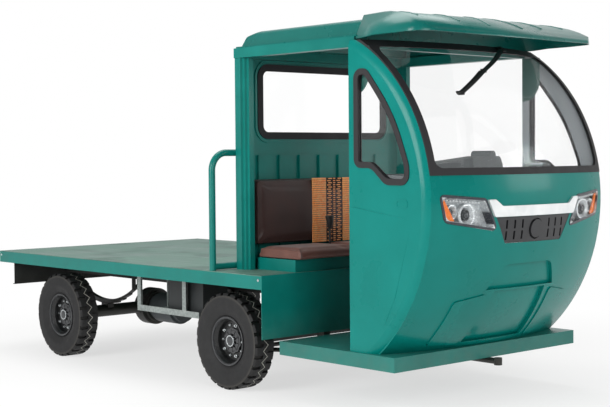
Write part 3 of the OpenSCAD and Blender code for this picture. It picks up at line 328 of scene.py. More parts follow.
def settle(piece, name, material, body, sharp=35):
    """Puts a finished piece's place into its mesh, smooths it, and gives it finish, body and slot."""
    bpy.ops.object.select_all(action="DESELECT")
    piece.select_set(True)
    bpy.context.view_layer.objects.active = piece
    bpy.ops.object.transform_apply(location=True, rotation=True, scale=True)
    bpy.ops.object.mode_set(mode="EDIT")
    bpy.ops.mesh.select_all(action="SELECT")
    bpy.ops.mesh.normals_make_consistent(inside=False)
    bpy.ops.object.mode_set(mode="OBJECT")
    bpy.ops.object.shade_smooth_by_angle(angle=math.radians(sharp))
    piece.name = piece.data.name = name
    piece.data.materials.clear()
    piece.data.materials.append(material)
    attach(piece, body)


# Bright zinc plate: a pale metal with a fine cloudy grain.
zinc_plate = finish_of("zinc_plated_steel", Metallic=1.0)
mottled(zinc_plate, "#b9bfc1", "#dfe3e4", 6, (0.22, 0.36), 1, 0.02)
BOLT_R, BOLT_HIGH, BOLT_SEAT, BOLT_RIM, BOLT_END = 0.0095, 0.004, 0.0008, 0.0022, 0.001
BOLT_X, BOLT_Y, BOLT_Z = (-28, -3057), 949.4, 722
SIDES = {"right": -1, "left": 1}
for hand, side in SIDES.items():
    bolt = begin(bpy.ops.mesh.primitive_cylinder_add, vertices=6, radius=BOLT_R, depth=BOLT_HIGH,
                 location=(0, 0, BOLT_SEAT))
    shape(bolt, upward, inset(BOLT_RIM), extrude(BOLT_END))
    ease(bolt, 0.0006)
    outward = Matrix.Rotation(math.radians(-90 * side), 4, "X")
    repeat(bolt, [Matrix.Translation(at(x, side * BOLT_Y, BOLT_Z)) @ outward for x in BOLT_X])
    settle(bolt, "corner_bolts_" + hand, zinc_plate, "chassis")


# Ladder chassis under the platform: channel rails, cross members, hangers, springs and axles,
# bolted and welded and brushed with black chassis paint.

# Brushed chassis paint: sooty black, satin, with brown road dust that thickens towards the ground.
chassis_black = finish_of("black_chassis_paint", IOR=1.5)
sooty = mottled(chassis_black, "#0f1110", "#1c1f1e", 140, (0.42, 0.62), 2, 0.12)
overlay(chassis_black, sooty, low_dust(chassis_black, 0.7), "#57544b")
dress(chassis_black, "cross_members", "main_rails", "drop_posts", "rear_board", "rear_axle", "leaf_springs",
      "front_axle", "tow_bar", "knuckle_left", "knuckle_right", "tie_rod", "drag_link", "pitman_arm",
      "steering_column")


# Drive motor: an iron housing cast in sand and painted grey,
# bolted to the front of the rear axle's casing.

# Paint on sand-cast iron: dull grey over a rough skin.
motor_paint = finish_of("grey_motor_paint", IOR=1.5)
mottled(motor_paint, "#34393b", "#474d50", 80, (0.45, 0.62), 2.5, 0.3)
dress(motor_paint, "drive_motor")


# Battery trays: steel angle, cut and welded into open frames, hot-dip galvanised
# and hung under the platform on both sides.

# Galvanised zinc: crystals about 12 mm across that differ in tone, dull and slightly cloudy.
galvanised = finish_of("galvanised_steel", Metallic=0.75)
dull_zinc = mottled(galvanised, "#7f8886", "#9ea6a3", 90, (0.42, 0.58), 2, 0.05)
spangle = add(galvanised, "TexVoronoi", {
    "Vector": add(galvanised, "TexCoord").outputs["Object"], "Scale": per(12)})
crystal = add(galvanised, "SeparateColor", {0: spangle.outputs["Color"]})
crystal_share = add(galvanised, "Math", {0: crystal.outputs[0], 1: 0.45}, operation="MULTIPLY")
overlay(galvanised, dull_zinc, crystal_share.outputs[0], "#c4cac7")
dress(galvanised, "battery_trays")


# Battery boxes: moulded polypropylene cases that stand in the trays, each closed by a lid
# with a sunk rim and a raised middle that laps the case.

# Moulded polypropylene: near black and matt, with a faint grain.
battery_case = finish_of("moulded_polypropylene", IOR=1.49)
mottled(battery_case, "#1d2021", "#2a2e2f", 90, (0.5, 0.62), 1.2, 0.12)
dress(battery_case, "battery_boxes")
LID_SIZE, LID_AT, LID_Y = (0.386, 0.21, 0.016), (-1050, 640.2), 615
LID_RIM, LID_SINK, LID_STEP, LID_RISE = 0.014, -0.004, 0.03, 0.007
lid = begin(bpy.ops.mesh.primitive_cube_add, scale=LID_SIZE, size=1.0)
shape(lid, upward, inset(LID_RIM), extrude(LID_SINK), inset(LID_STEP), extrude(LID_RISE))
ease(lid, 0.002)
repeat(lid, [Matrix.Translation(at(LID_AT[0], y, LID_AT[1])) for y in (-LID_Y, LID_Y)])
settle(lid, "battery_lids", battery_case, "chassis")


# Tyres: moulded block-tread rubber with lugs on both shoulders, fitted on 12-inch wheels.
# A sawtooth sipe is cut round the middle of the tread.

WHEELS = {"front_right": (-475, -1), "front_left": (-475, 1),
          "rear_right": (-2420, -1), "rear_left": (-2420, 1)}
WHEEL_Y, WHEEL_Z, LUGS = 770, 303, 26
TREAD_R, GROOVE_R, SHOULDER_R = (0.284, 0.29), (0.2875, 0.286), (0.27, 0.284)
SIPE_MIDDLE, SIPE_SWING, SIPE_EDGE, SIPE_CORE, RING_PITCH = WHEEL_Y / 1000, 0.018, 0.0034, 0.0022, 0.009


def hub_ray(material, x):
    """A wheel's own coordinates: metres out from its axle, turn round it, metres from the truck's middle."""
    move = add(material, "Mapping", {
        "Vector": add(material, "TexCoord").outputs["Object"], "Location": -at(x, 0, WHEEL_Z)})
    part = add(material, "SeparateXYZ", {0: move.outputs[0]}).outputs
    flat = add(material, "CombineXYZ", {"X": part["X"], "Y": part["Z"]})
    reach = add(material, "VectorMath", {0: flat.outputs[0]}, operation="LENGTH").outputs["Value"]
    turn = add(material, "Math", {0: part["Z"], 1: part["X"]}, operation="ARCTAN2").outputs[0]
    return reach, turn, add(material, "Math", {0: part["Y"]}, operation="ABSOLUTE").outputs[0]


def waves(material, source, pitch):
    """A wave along a coordinate, with its pitch in metres."""
    phase = add(material, "Math", {0: source, 1: 2 * math.pi / pitch}, operation="MULTIPLY")
    return add(material, "Math", {0: phase.outputs[0]}, operation="SINE").outputs[0]


for corner in WHEELS:
    # Tyre rubber: grey-black and dry, with fine rings on the wall, a pale sipe and dust between the lugs.
    rubber = finish_of("tyre_rubber_" + corner, IOR=1.52)
    dry = mottled(rubber, "#141415", "#1d1d1e", 60, (0.62, 0.8), 2, 0.1)
    reach, turn, across = hub_ray(rubber, WHEELS[corner][0])
    tread, groove, shoulder = [
        add(rubber, "MapRange", {"Value": reach, "From Min": none, "From Max": full}).outputs[0]
        for none, full in (TREAD_R, GROOVE_R, SHOULDER_R)]
    dry = overlay(rubber, dry, tread, "#141415")
    lug_turn = add(rubber, "Math", {0: turn, 1: LUGS / math.pi}, operation="MULTIPLY")
    saw = add(rubber, "Math", {0: lug_turn.outputs[0], 1: 1.0}, operation="PINGPONG")
    swing = add(rubber, "MapRange", {
        "Value": saw.outputs[0], "To Min": SIPE_MIDDLE - SIPE_SWING, "To Max": SIPE_MIDDLE + SIPE_SWING})
    line = add(rubber, "Math", {0: across, 1: swing.outputs[0]}, operation="SUBTRACT")
    near = add(rubber, "Math", {0: line.outputs[0]}, operation="ABSOLUTE")
    sipe = add(rubber, "MapRange", {"Value": near.outputs[0], "From Min": SIPE_EDGE, "From Max": SIPE_CORE})
    sipe_on = add(rubber, "Math", {0: sipe.outputs[0], 1: tread}, operation="MULTIPLY")
    dry = overlay(rubber, dry, sipe_on.outputs[0], "#b4b1a8")
    between = add(rubber, "Math", {0: groove, 1: shoulder}, operation="MULTIPLY")
    dirt = add(rubber, "Math", {0: between.outputs[0], 1: 0.35}, operation="MULTIPLY")
    overlay(rubber, dry, dirt.outputs[0], "#56534d")
    wall = add(rubber, "Bump", {
        "Height": waves(rubber, reach, RING_PITCH), "Strength": 0.35, "Distance": 0.0006})
    feed(rubber, "Normal", wall.outputs[0])
    dress(rubber, "tyre_" + corner)


# Wheels: pressed and rolled steel, enamelled black, with a rolled flange painted grey as its highlight,
# a scalloped hub plate, a bright ring round a blank cap and ten plated nuts, every second one smaller.

# Grey wheel enamel: satin and slightly uneven.
rim_grey = finish_of("grey_wheel_enamel", IOR=1.5)
mottled(rim_grey, "#3b3c3e", "#4a4b4d", 50, (0.4, 0.55), 2, 0.06)
# Moulded cap plastic: plain dark grey with a satin face.
cap_blank = finish_of("satin_plastic_cap", IOR=1.49)
mottled(cap_blank, "#3a3c3e", "#484a4c", 30, (0.35, 0.5), 1, 0.05)
PLATE_R, PLATE_THICK, PLATE_AT, PLATE_SIDES, SCALLOP = 0.082, 0.0145, 0.0115, 40, 0.94
CAP_R, CAP_LONG, CAP_AT, CAP_RIM, CAP_SINK = 0.0365, 0.022, 0.028, 0.007, -0.0015
BLANK_R, BLANK_THICK, BLANK_AT, BLANK_STEP, BLANK_RISE = 0.0285, 0.003, 0.0385, 0.009, 0.0012
NUT_R, NUT_LONG, NUT_AT, NUT_RIM, STUD_LONG, STUD_RIM = 0.0125, 0.015, 0.0107, 0.004, 0.007, 0.0015
NUTS, NUT_RING, NUT_SCALES = 10, 0.1, (1.0, 0.72)
LIP_R, LIP_THICK, LIP_AT, LIP_EDGE, LIP_FLAT = 0.1495, 0.005, 0.0585, 0.0008, -0.0016
PLATE_STEPS = (inset(0.012), extrude(0.004), inset(0.026), extrude(0.003))


def shift(x, y, z):
    """A step for shape: moves the picked faces."""
    return bpy.ops.transform.translate, {"value": (x, y, z)}


def scalloped(centre, normal):
    """A test for shape: every fourth facet round the hub plate."""
    facet = math.degrees(math.atan2(centre.y, centre.x)) / (360 / PLATE_SIDES)
    return abs(normal.z) < 0.5 and round(facet - 0.5) % 4 == 0


for corner, (axle_x, side) in WHEELS.items():
    body = "wheel_" + corner
    # Black wheel enamel: glossy in the dish and grey on the rolled flange, where the grey is a painted
    # highlight.
    wheel_black = finish_of("black_wheel_enamel_" + corner, IOR=1.5, Coat_Weight=0.2, Coat_Roughness=0.2)
    gloss_black = mottled(wheel_black, "#0d0e0f", "#17191a", 60, (0.34, 0.5), 2, 0.05)
    reach = hub_ray(wheel_black, axle_x)[0]
    flange_highlight = add(wheel_black, "MapRange", {
        "Value": reach, "From Min": 0.1405, "From Max": 0.1425, "To Max": 0.8})
    overlay(wheel_black, gloss_black, flange_highlight.outputs[0], "#4e4f51")
    dress(wheel_black, "rim_" + corner)
    outward = Matrix.Rotation(math.radians(-90 * side), 4, "X")
    hub = Matrix.Translation(at(axle_x, side * WHEEL_Y, WHEEL_Z)) @ outward

    plate = begin(bpy.ops.mesh.primitive_cylinder_add, vertices=PLATE_SIDES, radius=PLATE_R, depth=PLATE_THICK,
                  location=(0, 0, PLATE_AT))
    shape(plate, scalloped,
          (bpy.ops.transform.resize, {"value": (SCALLOP, SCALLOP, 1.0), "center_override": (0, 0, 0)}))
    shape(plate, upward, *PLATE_STEPS)
    ease(plate, 0.0025)
    repeat(plate, [hub])
    settle(plate, "hub_plate_" + corner, rim_grey, body)

    cap = begin(bpy.ops.mesh.primitive_cylinder_add, vertices=48, radius=CAP_R, depth=CAP_LONG,
                location=(0, 0, CAP_AT))
    shape(cap, upward, inset(CAP_RIM), extrude(CAP_SINK))
    ease(cap, 0.0018, segments=3)
    repeat(cap, [hub])
    settle(cap, "cap_ring_" + corner, zinc_plate, body)

    blank = begin(bpy.ops.mesh.primitive_cylinder_add, vertices=48, radius=BLANK_R, depth=BLANK_THICK,
                  location=(0, 0, BLANK_AT))
    shape(blank, upward, inset(BLANK_STEP), extrude(BLANK_RISE))
    ease(blank, 0.001)
    repeat(blank, [hub])
    settle(blank, "cap_blank_" + corner, cap_blank, body)

    nut = begin(bpy.ops.mesh.primitive_cylinder_add, vertices=6, radius=NUT_R, depth=NUT_LONG,
                location=(0, 0, NUT_AT))
    shape(nut, upward, inset(NUT_RIM), extrude(STUD_LONG), inset(STUD_RIM))
    ease(nut, 0.0012)
    repeat(nut, [hub @ Matrix.Rotation(math.radians(360 / NUTS * k), 4, "Z")
                 @ Matrix.Translation((NUT_RING, 0, 0)) @ Matrix.Scale(NUT_SCALES[k % 2], 4)
                 for k in range(NUTS)])
    settle(nut, "wheel_nuts_" + corner, zinc_plate, body)

    # The lip takes the grey wheel enamel: a painted highlight round the flange's edge.
    lip = begin(bpy.ops.mesh.primitive_torus_add, major_radius=LIP_R, minor_radius=LIP_THICK, major_segments=96,
                minor_segments=10, location=(0, 0, LIP_AT))
    shape(lip, lambda c, n: n.z > 0.6, inset(LIP_EDGE), shift(0, 0, LIP_FLAT))
    repeat(lip, [hub])
    settle(lip, "flange_lip_" + corner, rim_grey, body, 60)


# Cab floor, back wall, pillars, rails, hoop and seat box: folded sheet and bent tube, welded together
# and sprayed with the same teal enamel as the platform.
dress(enamel, "cab_floor", "back_wall", "b_pillars", "roof_rails", "guard_hoop", "seat_box")


# Seat cushions and backrest: foam wrapped in brown vinyl and stapled under a board,
# so that the cover is held at its foot and swells between its corners.

def vinyl_of(name, dark, light, crease):
    """Pebbled vinyl: cells about 3 mm wide, drawn that coarse to show, with pale hairline creases."""
    made = finish_of(name, IOR=1.52, Sheen_Weight=0.12, Sheen_Roughness=0.5)
    hide = mottled(made, dark, light, 160, (0.4, 0.56), 3, 0.2)
    where = add(made, "TexCoord").outputs["Object"]
    bent = add(made, "TexNoise", {"Vector": where, "Scale": per(60), "Detail": 3.0})
    pull = add(made, "VectorMath", {0: where, 1: bent.outputs["Color"]}, operation="ADD")
    slant = add(made, "Mapping", {
        "Vector": pull.outputs[0], "Rotation": (0.7, 0.4, 0.5), "Scale": (per(7), per(90), per(30))})
    hairs = add(made, "TexNoise", {
        "Vector": slant.outputs[0], "Scale": 1.0, "Detail": 6.0, "Roughness": 0.75})
    marks = add(made, "MapRange", {
        "Value": hairs.outputs[0], "From Min": 0.64, "From Max": 0.74, "To Max": 0.6})
    overlay(made, hide, marks.outputs[0], crease)
    pebble = add(made, "TexVoronoi", {"Vector": where, "Scale": per(3)}, feature="SMOOTH_F1")
    skin = add(made, "Bump", {"Height": pebble.outputs["Distance"], "Strength": 0.3, "Distance": 0.0004})
    feed(made, "Normal", skin.outputs[0])
    return made


PAD_VOXEL, PAD_DRAWN_IN, PAD_PRESSURE, PAD_FRAMES = 0.008, 0.006, 4.0, 20


def plump(node, name, material, most, resting):
    """A padded piece grown from its CAD solid: remeshed, drawn in, blown up as cloth and held to a most."""
    pad = bpy.data.objects.new(name, nodes[node].data.copy())
    bpy.context.collection.objects.link(pad)
    shape(pad, lambda c, n: True, (bpy.ops.mesh.remove_doubles, {"threshold": 0.00002}),
          (bpy.ops.mesh.normals_make_consistent, {"inside": False}))
    harden(pad, "REMESH", mode="VOXEL", voxel_size=PAD_VOXEL)
    for vertex in pad.data.vertices:
        vertex.co -= vertex.normal * PAD_DRAWN_IN
    harden(pad, "SMOOTH", factor=0.5, iterations=4)
    start = [vertex.co.copy() for vertex in pad.data.vertices]
    held = pad.vertex_groups.new(name="resting")
    held.add([v.index for v in pad.data.vertices if resting(v.co)], 1.0, "REPLACE")
    bpy.ops.object.select_all(action="DESELECT")
    pad.select_set(True)
    bpy.context.view_layer.objects.active = pad
    cloth = pad.modifiers.new("cloth", "CLOTH")
    cloth.settings.use_pressure = True
    cloth.settings.uniform_pressure_force = PAD_PRESSURE
    cloth.settings.effector_weights.gravity = 0.0
    cloth.settings.vertex_group_mass = held.name
    cloth.settings.quality = 4
    for step in range(1, PAD_FRAMES + 1):
        bpy.context.scene.frame_set(step)
    bpy.ops.object.modifier_apply(modifier=cloth.name)
    bpy.context.scene.frame_set(1)
    for vertex, rest in zip(pad.data.vertices, start):
        moved = vertex.co - rest
        if moved.length > most:
            vertex.co = rest + moved * (most / moved.length)
    harden(pad, "SMOOTH", factor=0.5, iterations=3)
    harden(pad, "SUBSURF", levels=1, render_levels=1)
    settle(pad, name, material, "chassis", 60)
    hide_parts(node)


seat_vinyl = vinyl_of("brown_seat_vinyl", "#5b382f", "#6f463b", "#8d6a60")
back_vinyl = vinyl_of("dark_back_vinyl", "#2e1814", "#3b211c", "#7a5f56")
SEAT_BOARD_Z, BACK_BOARD_X = 0.834, EDGE - 0.432
plump("seat_cushions", "seat_pads", seat_vinyl, 0.012, lambda p: p.z < SEAT_BOARD_Z)
plump("seat_back", "back_pad", back_vinyl, 0.010, lambda p: p.x < BACK_BOARD_X)


# Back mat: split cane slats strung on dark cord, hung flat on the backrest. Plain slats make the outer
# bands, and between them run rows of small cane beads with the cord showing dark between the rows.

# Varnished cane: warm orange strips that vary in tone, with darker fibres along them.
cane = finish_of("varnished_cane", IOR=1.52, Coat_Weight=0.2, Coat_Roughness=0.25)
strip_tone = mottled(cane, "#ff9142", "#ffbe7c", 22, (0.38, 0.52), 2, 0.1)
fibre_map = add(cane, "Mapping", {
    "Vector": add(cane, "TexCoord").outputs["Object"], "Scale": (per(3), per(60), per(1.2))})
fibre = add(cane, "TexNoise", {"Vector": fibre_map.outputs[0], "Scale": 1.0, "Detail": 4.0})
fibre_mask = add(cane, "MapRange", {
    "Value": fibre.outputs[0], "From Min": 0.58, "From Max": 0.74, "To Max": 0.35})
overlay(cane, strip_tone, fibre_mask.outputs[0], "#c4682c")
# Twisted cotton cord: black, dull and slightly fuzzy.
black_cord = finish_of("black_cotton_cord", IOR=1.5, Sheen_Weight=0.2)
mottled(black_cord, "#100d0c", "#1e1917", 4, (0.75, 0.9), 1, 0.1)
MAT_LOW, MAT_HIGH, MAT_X, SLAT_PITCH = 893.0, 1313.0, -369.5, 14.0
CORD_X, CANE_X, SLAT_Y, BEAD_Y, BEAD_SWING, SHORT_BEAD = MAT_X - 1.2, MAT_X + 1.2, 136.5, 42, (-5, 5), 0.6
CORD_SIZE, SLAT_SIZE, BEAD_SIZE = (0.002, 0.396, 0.418), (0.0042, 0.123, 0.0122), (0.0046, 0.032, 0.0126)
CORD_RIM, SLAT_RIM, SLAT_CROWN, BEAD_ENDS = 0.003, 0.0018, 0.0008, (0.6, 1.0, 0.5)
row_heights = [MAT_LOW + (k + 0.5) * SLAT_PITCH for k in range(int((MAT_HIGH - MAT_LOW) / SLAT_PITCH))]


def forward(centre, normal):
    """A test for shape: faces that look ahead."""
    return normal.x > 0.9


backing = begin(bpy.ops.mesh.primitive_cube_add, scale=CORD_SIZE, size=1.0,
                location=at(CORD_X, 0, (MAT_LOW + MAT_HIGH) / 2))
shape(backing, forward, (bpy.ops.mesh.subdivide, {"number_cuts": 6}), inset(CORD_RIM))
ease(backing, 0.0006)
settle(backing, "mat_cords", black_cord, "chassis")
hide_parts("seat_mat")
slat = begin(bpy.ops.mesh.primitive_cube_add, scale=SLAT_SIZE, size=1.0)
shape(slat, forward, inset(SLAT_RIM), shift(SLAT_CROWN, 0, 0))
ease(slat, 0.0008, segments=1)
repeat(slat, [Matrix.Translation(at(CANE_X, y, z)) for z in row_heights for y in (-SLAT_Y, SLAT_Y)])
settle(slat, "mat_slats", cane, "chassis")
bead = begin(bpy.ops.mesh.primitive_cube_add, scale=BEAD_SIZE, size=1.0)
shape(bead, lambda c, n: abs(n.y) > 0.9, (bpy.ops.transform.resize, {"value": BEAD_ENDS}))
ease(bead, 0.0009, segments=1)
side_beads = [Matrix.Translation(at(CANE_X, y + BEAD_SWING[k % 2], z))
              for k, z in enumerate(row_heights) for y in (-BEAD_Y, BEAD_Y)]
middle_beads = [Matrix.Translation(at(CANE_X, 0, z)) @ Matrix.Scale(SHORT_BEAD, 4, (0, 1, 0))
                for z in row_heights]
repeat(bead, side_beads + middle_beads)
settle(bead, "mat_beads", cane, "chassis")


# Driver's controls: the gear lever with its knob, the pedals and the steering wheel,
# moulded in black plastic over steel.

# Moulded control plastic: black with a fine grain, satin where hands polish it.
control_plastic = finish_of("black_control_plastic", IOR=1.49)
mottled(control_plastic, "#111212", "#1b1c1c", 50, (0.36, 0.52), 1.2, 0.1)
dress(control_plastic, "gear_lever", "pedals", "steering_wheel")
LEVER_X, LEVER_Y, GRIP_DROP = -255, -150, 44
GRIP_LOW_R, GRIP_TOP_R, GRIP_LONG, GRIP_FLAT = 0.012, 0.034, 0.085, (0.75, 1.0, 1.0)
grip = begin(bpy.ops.mesh.primitive_cone_add, vertices=24, radius1=GRIP_LOW_R, radius2=GRIP_TOP_R,
             depth=GRIP_LONG)
grip.scale = GRIP_FLAT
grip.location = at(LEVER_X, LEVER_Y, 1000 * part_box("gear_lever")[1][2] - GRIP_DROP)
ease(grip, 0.009, segments=4)
settle(grip, "lever_grip", control_plastic, "chassis", 60)


# Dashboard: one moulding of grained ABS across the cab,
# screwed to the front panel under the windscreen.

# Grained ABS: mid grey, and matt so that it does not glare.
dash_abs = finish_of("grained_dash_abs", IOR=1.53)
mottled(dash_abs, "#5f6466", "#6d7274", 140, (0.5, 0.62), 1.6, 0.25)
dress(dash_abs, "dashboard")


# Front, sides and roof: glass fibre laid by hand in moulds, trimmed and bolted to the frame.
# The outside is teal gelcoat and the inside of the front and sides is left in grey flow coat.

# Moulded gelcoat: deep teal and glossy, with a slow ripple from the mould. Its teal is darker than on the front
# and sides, which is painted shade on the roof and visor.
gelcoat = finish_of("teal_gelcoat", Specular_IOR_Level=0.25, Coat_Weight=0.22, Coat_Roughness=0.3)
mottled(gelcoat, "#005f58", "#036a62", 500, (0.24, 0.34), 14, 0.03)
dress(gelcoat, "roof")
# Gelcoat with a grey flow-coated back: a lighter teal outside, flat grey on the faces that look in.
FRONT_EDGE, EDGE_BLEND = EDGE + 0.588, 0.001
lined = finish_of("teal_gelcoat_grey_back", Specular_IOR_Level=0.16, Coat_Weight=0.1, Coat_Roughness=0.1)
skin_tone = mottled(lined, "#00736b", "#047d75", 500, (0.24, 0.34), 14, 0.03)
facing = add(lined, "SeparateXYZ", {0: add(lined, "NewGeometry").outputs["Normal"]}).outputs
place_of = add(lined, "SeparateXYZ", {0: add(lined, "TexCoord").outputs["Object"]}).outputs
inward = add(lined, "Math", {0: facing["Y"], 1: place_of["Y"]}, operation="MULTIPLY")
side_back = add(lined, "MapRange", {"Value": inward.outputs[0], "From Min": -0.35, "From Max": -0.45})
front_back = add(lined, "MapRange", {"Value": facing["X"], "From Min": -0.2, "From Max": -0.3})
past_edge = add(lined, "MapRange", {
    "Value": place_of["X"], "From Min": FRONT_EDGE - EDGE_BLEND, "From Max": FRONT_EDGE + EDGE_BLEND})
front_only = add(lined, "Math", {0: front_back.outputs[0], 1: past_edge.outputs[0]}, operation="MULTIPLY")
inside = add(lined, "Math", {0: side_back.outputs[0], 1: front_only.outputs[0]}, operation="MAXIMUM")
overlay(lined, skin_tone, inside.outputs[0], "#9aa0a4")
dress(lined, "front_panel", "side_panels")


# Visor: a wide domed lip of the same glass fibre, moulded with the roof's front edge, smooth on top
# and closed beneath, with six stiffening ribs that run fore and aft.

visor_top = bpy.data.objects.new("visor_moulding", nodes["visor"].data.copy())
bpy.context.collection.objects.link(visor_top)
shape(visor_top, lambda c, n: True, (bpy.ops.mesh.remove_doubles, {"threshold": 0.0012}),
      (bpy.ops.mesh.normals_make_consistent, {"inside": False}))
settle(visor_top, "visor_moulding", gelcoat, "chassis", 32)
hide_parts("visor")
VISOR_RIBS = (((748, -610), (985, -650)), ((748, -330), (1040, -370)), ((748, -60), (1075, -150)),
              ((748, 60), (1075, 150)), ((748, 330), (1040, 370)), ((748, 610), (985, 650)))
RIB_WIDE, RIB_THICK, RIB_DROPPED_FROM = 0.016, 0.007, 2400
for number, (back, front) in enumerate(VISOR_RIBS):
    run = Vector((front[0] - back[0], front[1] - back[1])) / 1000
    rib = begin(bpy.ops.mesh.primitive_grid_add, scale=(run.length, RIB_WIDE, 1.0), x_subdivisions=40,
                y_subdivisions=4, size=1.0, rotation=(0, 0, math.atan2(run.y, run.x)),
                location=at((back[0] + front[0]) / 2, (back[1] + front[1]) / 2, RIB_DROPPED_FROM))
    harden(rib, "SHRINKWRAP", target=visor_top, wrap_method="PROJECT", use_project_z=True,
           use_negative_direction=True, use_positive_direction=False, offset=0.0)
    harden(rib, "SOLIDIFY", thickness=RIB_THICK, offset=0.0)
    ease(rib, 0.002)
    settle(rib, "visor_rib_%d" % number, gelcoat, "chassis", 60)


# Roof gussets: sheet steel corner plates with one large rounded corner,
# screwed to the inside of each side panel under the roof.

# Painted shade: the teal enamel darkened to the tone of the shaded upper corners inside the cab, and satin.
gusset_shade_enamel = finish_of("teal_enamel_painted_shade", IOR=1.5)
mottled(gusset_shade_enamel, "#02463f", "#06554c", 200, (0.4, 0.55), 3, 0.06)
GUSSET_SIZE, GUSSET_CORNER_R, GUSSET_THICK = (0.139, 0.274, 1.0), 0.132, 0.002
GUSSET_X, GUSSET_Y, GUSSET_Z = 655.5, 763.4, 1928
for hand, side in SIDES.items():
    gusset = begin(bpy.ops.mesh.primitive_plane_add, scale=GUSSET_SIZE, size=1.0)
    bpy.ops.object.mode_set(mode="EDIT")
    bpy.ops.mesh.select_mode(type="VERT")
    bpy.ops.mesh.select_all(action="DESELECT")
    bpy.ops.object.mode_set(mode="OBJECT")
    for vertex in gusset.data.vertices:
        vertex.select = vertex.co.x > 0 and vertex.co.y < 0
    bpy.ops.object.mode_set(mode="EDIT")
    bpy.ops.mesh.bevel(offset=GUSSET_CORNER_R, segments=16, affect="VERTICES", profile=0.5)
    bpy.ops.object.mode_set(mode="OBJECT")
    gusset.rotation_euler = (math.radians(90), 0, 0)
    gusset.location = at(GUSSET_X, side * GUSSET_Y, GUSSET_Z)
    harden(gusset, "SOLIDIFY", thickness=GUSSET_THICK, offset=0.0)
    ease(gusset, 0.0006)
    settle(gusset, "roof_gusset_" + hand, gusset_shade_enamel, "chassis")


# Window rubbers: extruded EPDM strips pressed over the edges of the panels
# to hold the windows and the windscreen.

# Extruded EPDM: charcoal, matt and faintly chalky.
epdm = finish_of("epdm_rubber", IOR=1.5)
mottled(epdm, "#171619", "#222023", 80, (0.6, 0.75), 2, 0.1)
dress(epdm, "window_seals", "windscreen_seal")


# Glazing: a laminated windscreen and toughened side windows set in their rubbers,
# and the clear covers over the headlamps.

# Clear glass: a faint grey cast, clean and sharp in reflection.
clear_glass = finish_of("clear_laminated_glass", Transmission_Weight=1.0, IOR=1.3, Alpha=0.05)
mottled(clear_glass, "#dfe6e5", "#e8eeed", 900, (0.01, 0.03), 900, 0.005)
dress(clear_glass, "window_glass", "windscreen_glass", "headlamp_lenses")


# Headlamps: grey moulded housings with metallised reflector bowls under a clear cover, a row of small
# white lights along the top edge and an amber strip down the outer edge.

NOSE_X, NOSE_Z, NOSE_LOW_R, NOSE_UP_R, PLAN_R = 1296.0, 1192.0, 1147.0, 1068.0, 2670.0


def on_front(y, z, proud):
    """A point on the moulded front at a height and side, that far ahead of its surface."""
    curve = NOSE_LOW_R if z < NOSE_Z else NOSE_UP_R
    reach = PLAN_R - curve + math.sqrt(curve ** 2 - (z - NOSE_Z) ** 2) + proud
    return at(NOSE_X - PLAN_R + math.sqrt(reach ** 2 - y ** 2), y, z)


def turned_out(y, z, proud):
    """The place of a small piece on the front, its top turned to face out of the surface."""
    spot = on_front(y, z, proud)
    out = (on_front(y, z, proud + 1) - spot).normalized()
    return Matrix.Translation(spot) @ Vector((0, 0, 1)).rotation_difference(out).to_matrix().to_4x4()


# Metallised plastic: silver and softly fluted in the bowls, with a dark bare bezel round them.
LAMP_CORNERS = ((718, 1243), (684, 1092), (318, 1034), (412, 1215))
BEZEL_EDGE, BEZEL_FULL, FLUTE_PITCH = 0.0125, 0.0115, 0.012
reflector = finish_of("metallised_reflector", IOR=1.5)
silver = mottled(reflector, "#b4babd", "#dfe3e5", 16, (0.16, 0.3), 5, 0.3)
lamp_at = add(reflector, "SeparateXYZ", {0: add(reflector, "TexCoord").outputs["Object"]}).outputs
lamp_y = add(reflector, "Math", {0: lamp_at["Y"]}, operation="ABSOLUTE").outputs[0]
lamp_flat = add(reflector, "CombineXYZ", {"X": lamp_y, "Y": lamp_at["Z"]}).outputs[0]
within = 1.0
for here, following in zip(LAMP_CORNERS, LAMP_CORNERS[1:] + LAMP_CORNERS[:1]):
    along = Vector((following[0] - here[0], following[1] - here[1], 0)).normalized()
    corner_point = Vector((here[0] / 1000, here[1] / 1000, 0))
    from_corner = add(reflector, "VectorMath", {0: lamp_flat, 1: corner_point}, operation="SUBTRACT")
    edge_in = add(reflector, "VectorMath", {
        0: from_corner.outputs[0], 1: (along.y, -along.x, 0)}, operation="DOT_PRODUCT")
    within = add(reflector, "Math", {
        0: edge_in.outputs["Value"], 1: within}, operation="MINIMUM").outputs[0]
bezel = add(reflector, "MapRange", {
    "Value": within, "From Min": BEZEL_EDGE, "From Max": BEZEL_FULL}).outputs[0]
overlay(reflector, silver, bezel, "#3d4046")
plating = add(reflector, "MapRange", {"Value": bezel, "To Min": 0.4, "To Max": 0.0})
feed(reflector, "Metallic", plating.outputs[0])
flute_bump = add(reflector, "Bump", {
    "Height": waves(reflector, lamp_at["Z"], FLUTE_PITCH), "Strength": 0.3, "Distance": 0.0012})
feed(reflector, "Normal", flute_bump.outputs[0])
dress(reflector, "headlamps")
# Clear bulb plastic: almost white, with small sharp highlights.
bright_bulb = finish_of("clear_bulb_plastic", Transmission_Weight=0.3, IOR=1.49)
mottled(bright_bulb, "#e9eef2", "#f6f9fb", 3, (0.08, 0.16), 2, 0.05)
# Amber lens plastic: bright orange under a glossy face.
amber = finish_of("amber_lens_plastic", IOR=1.49, Coat_Weight=0.3)
mottled(amber, "#e8641c", "#f58a34", 7, (0.16, 0.28), 4, 0.2)
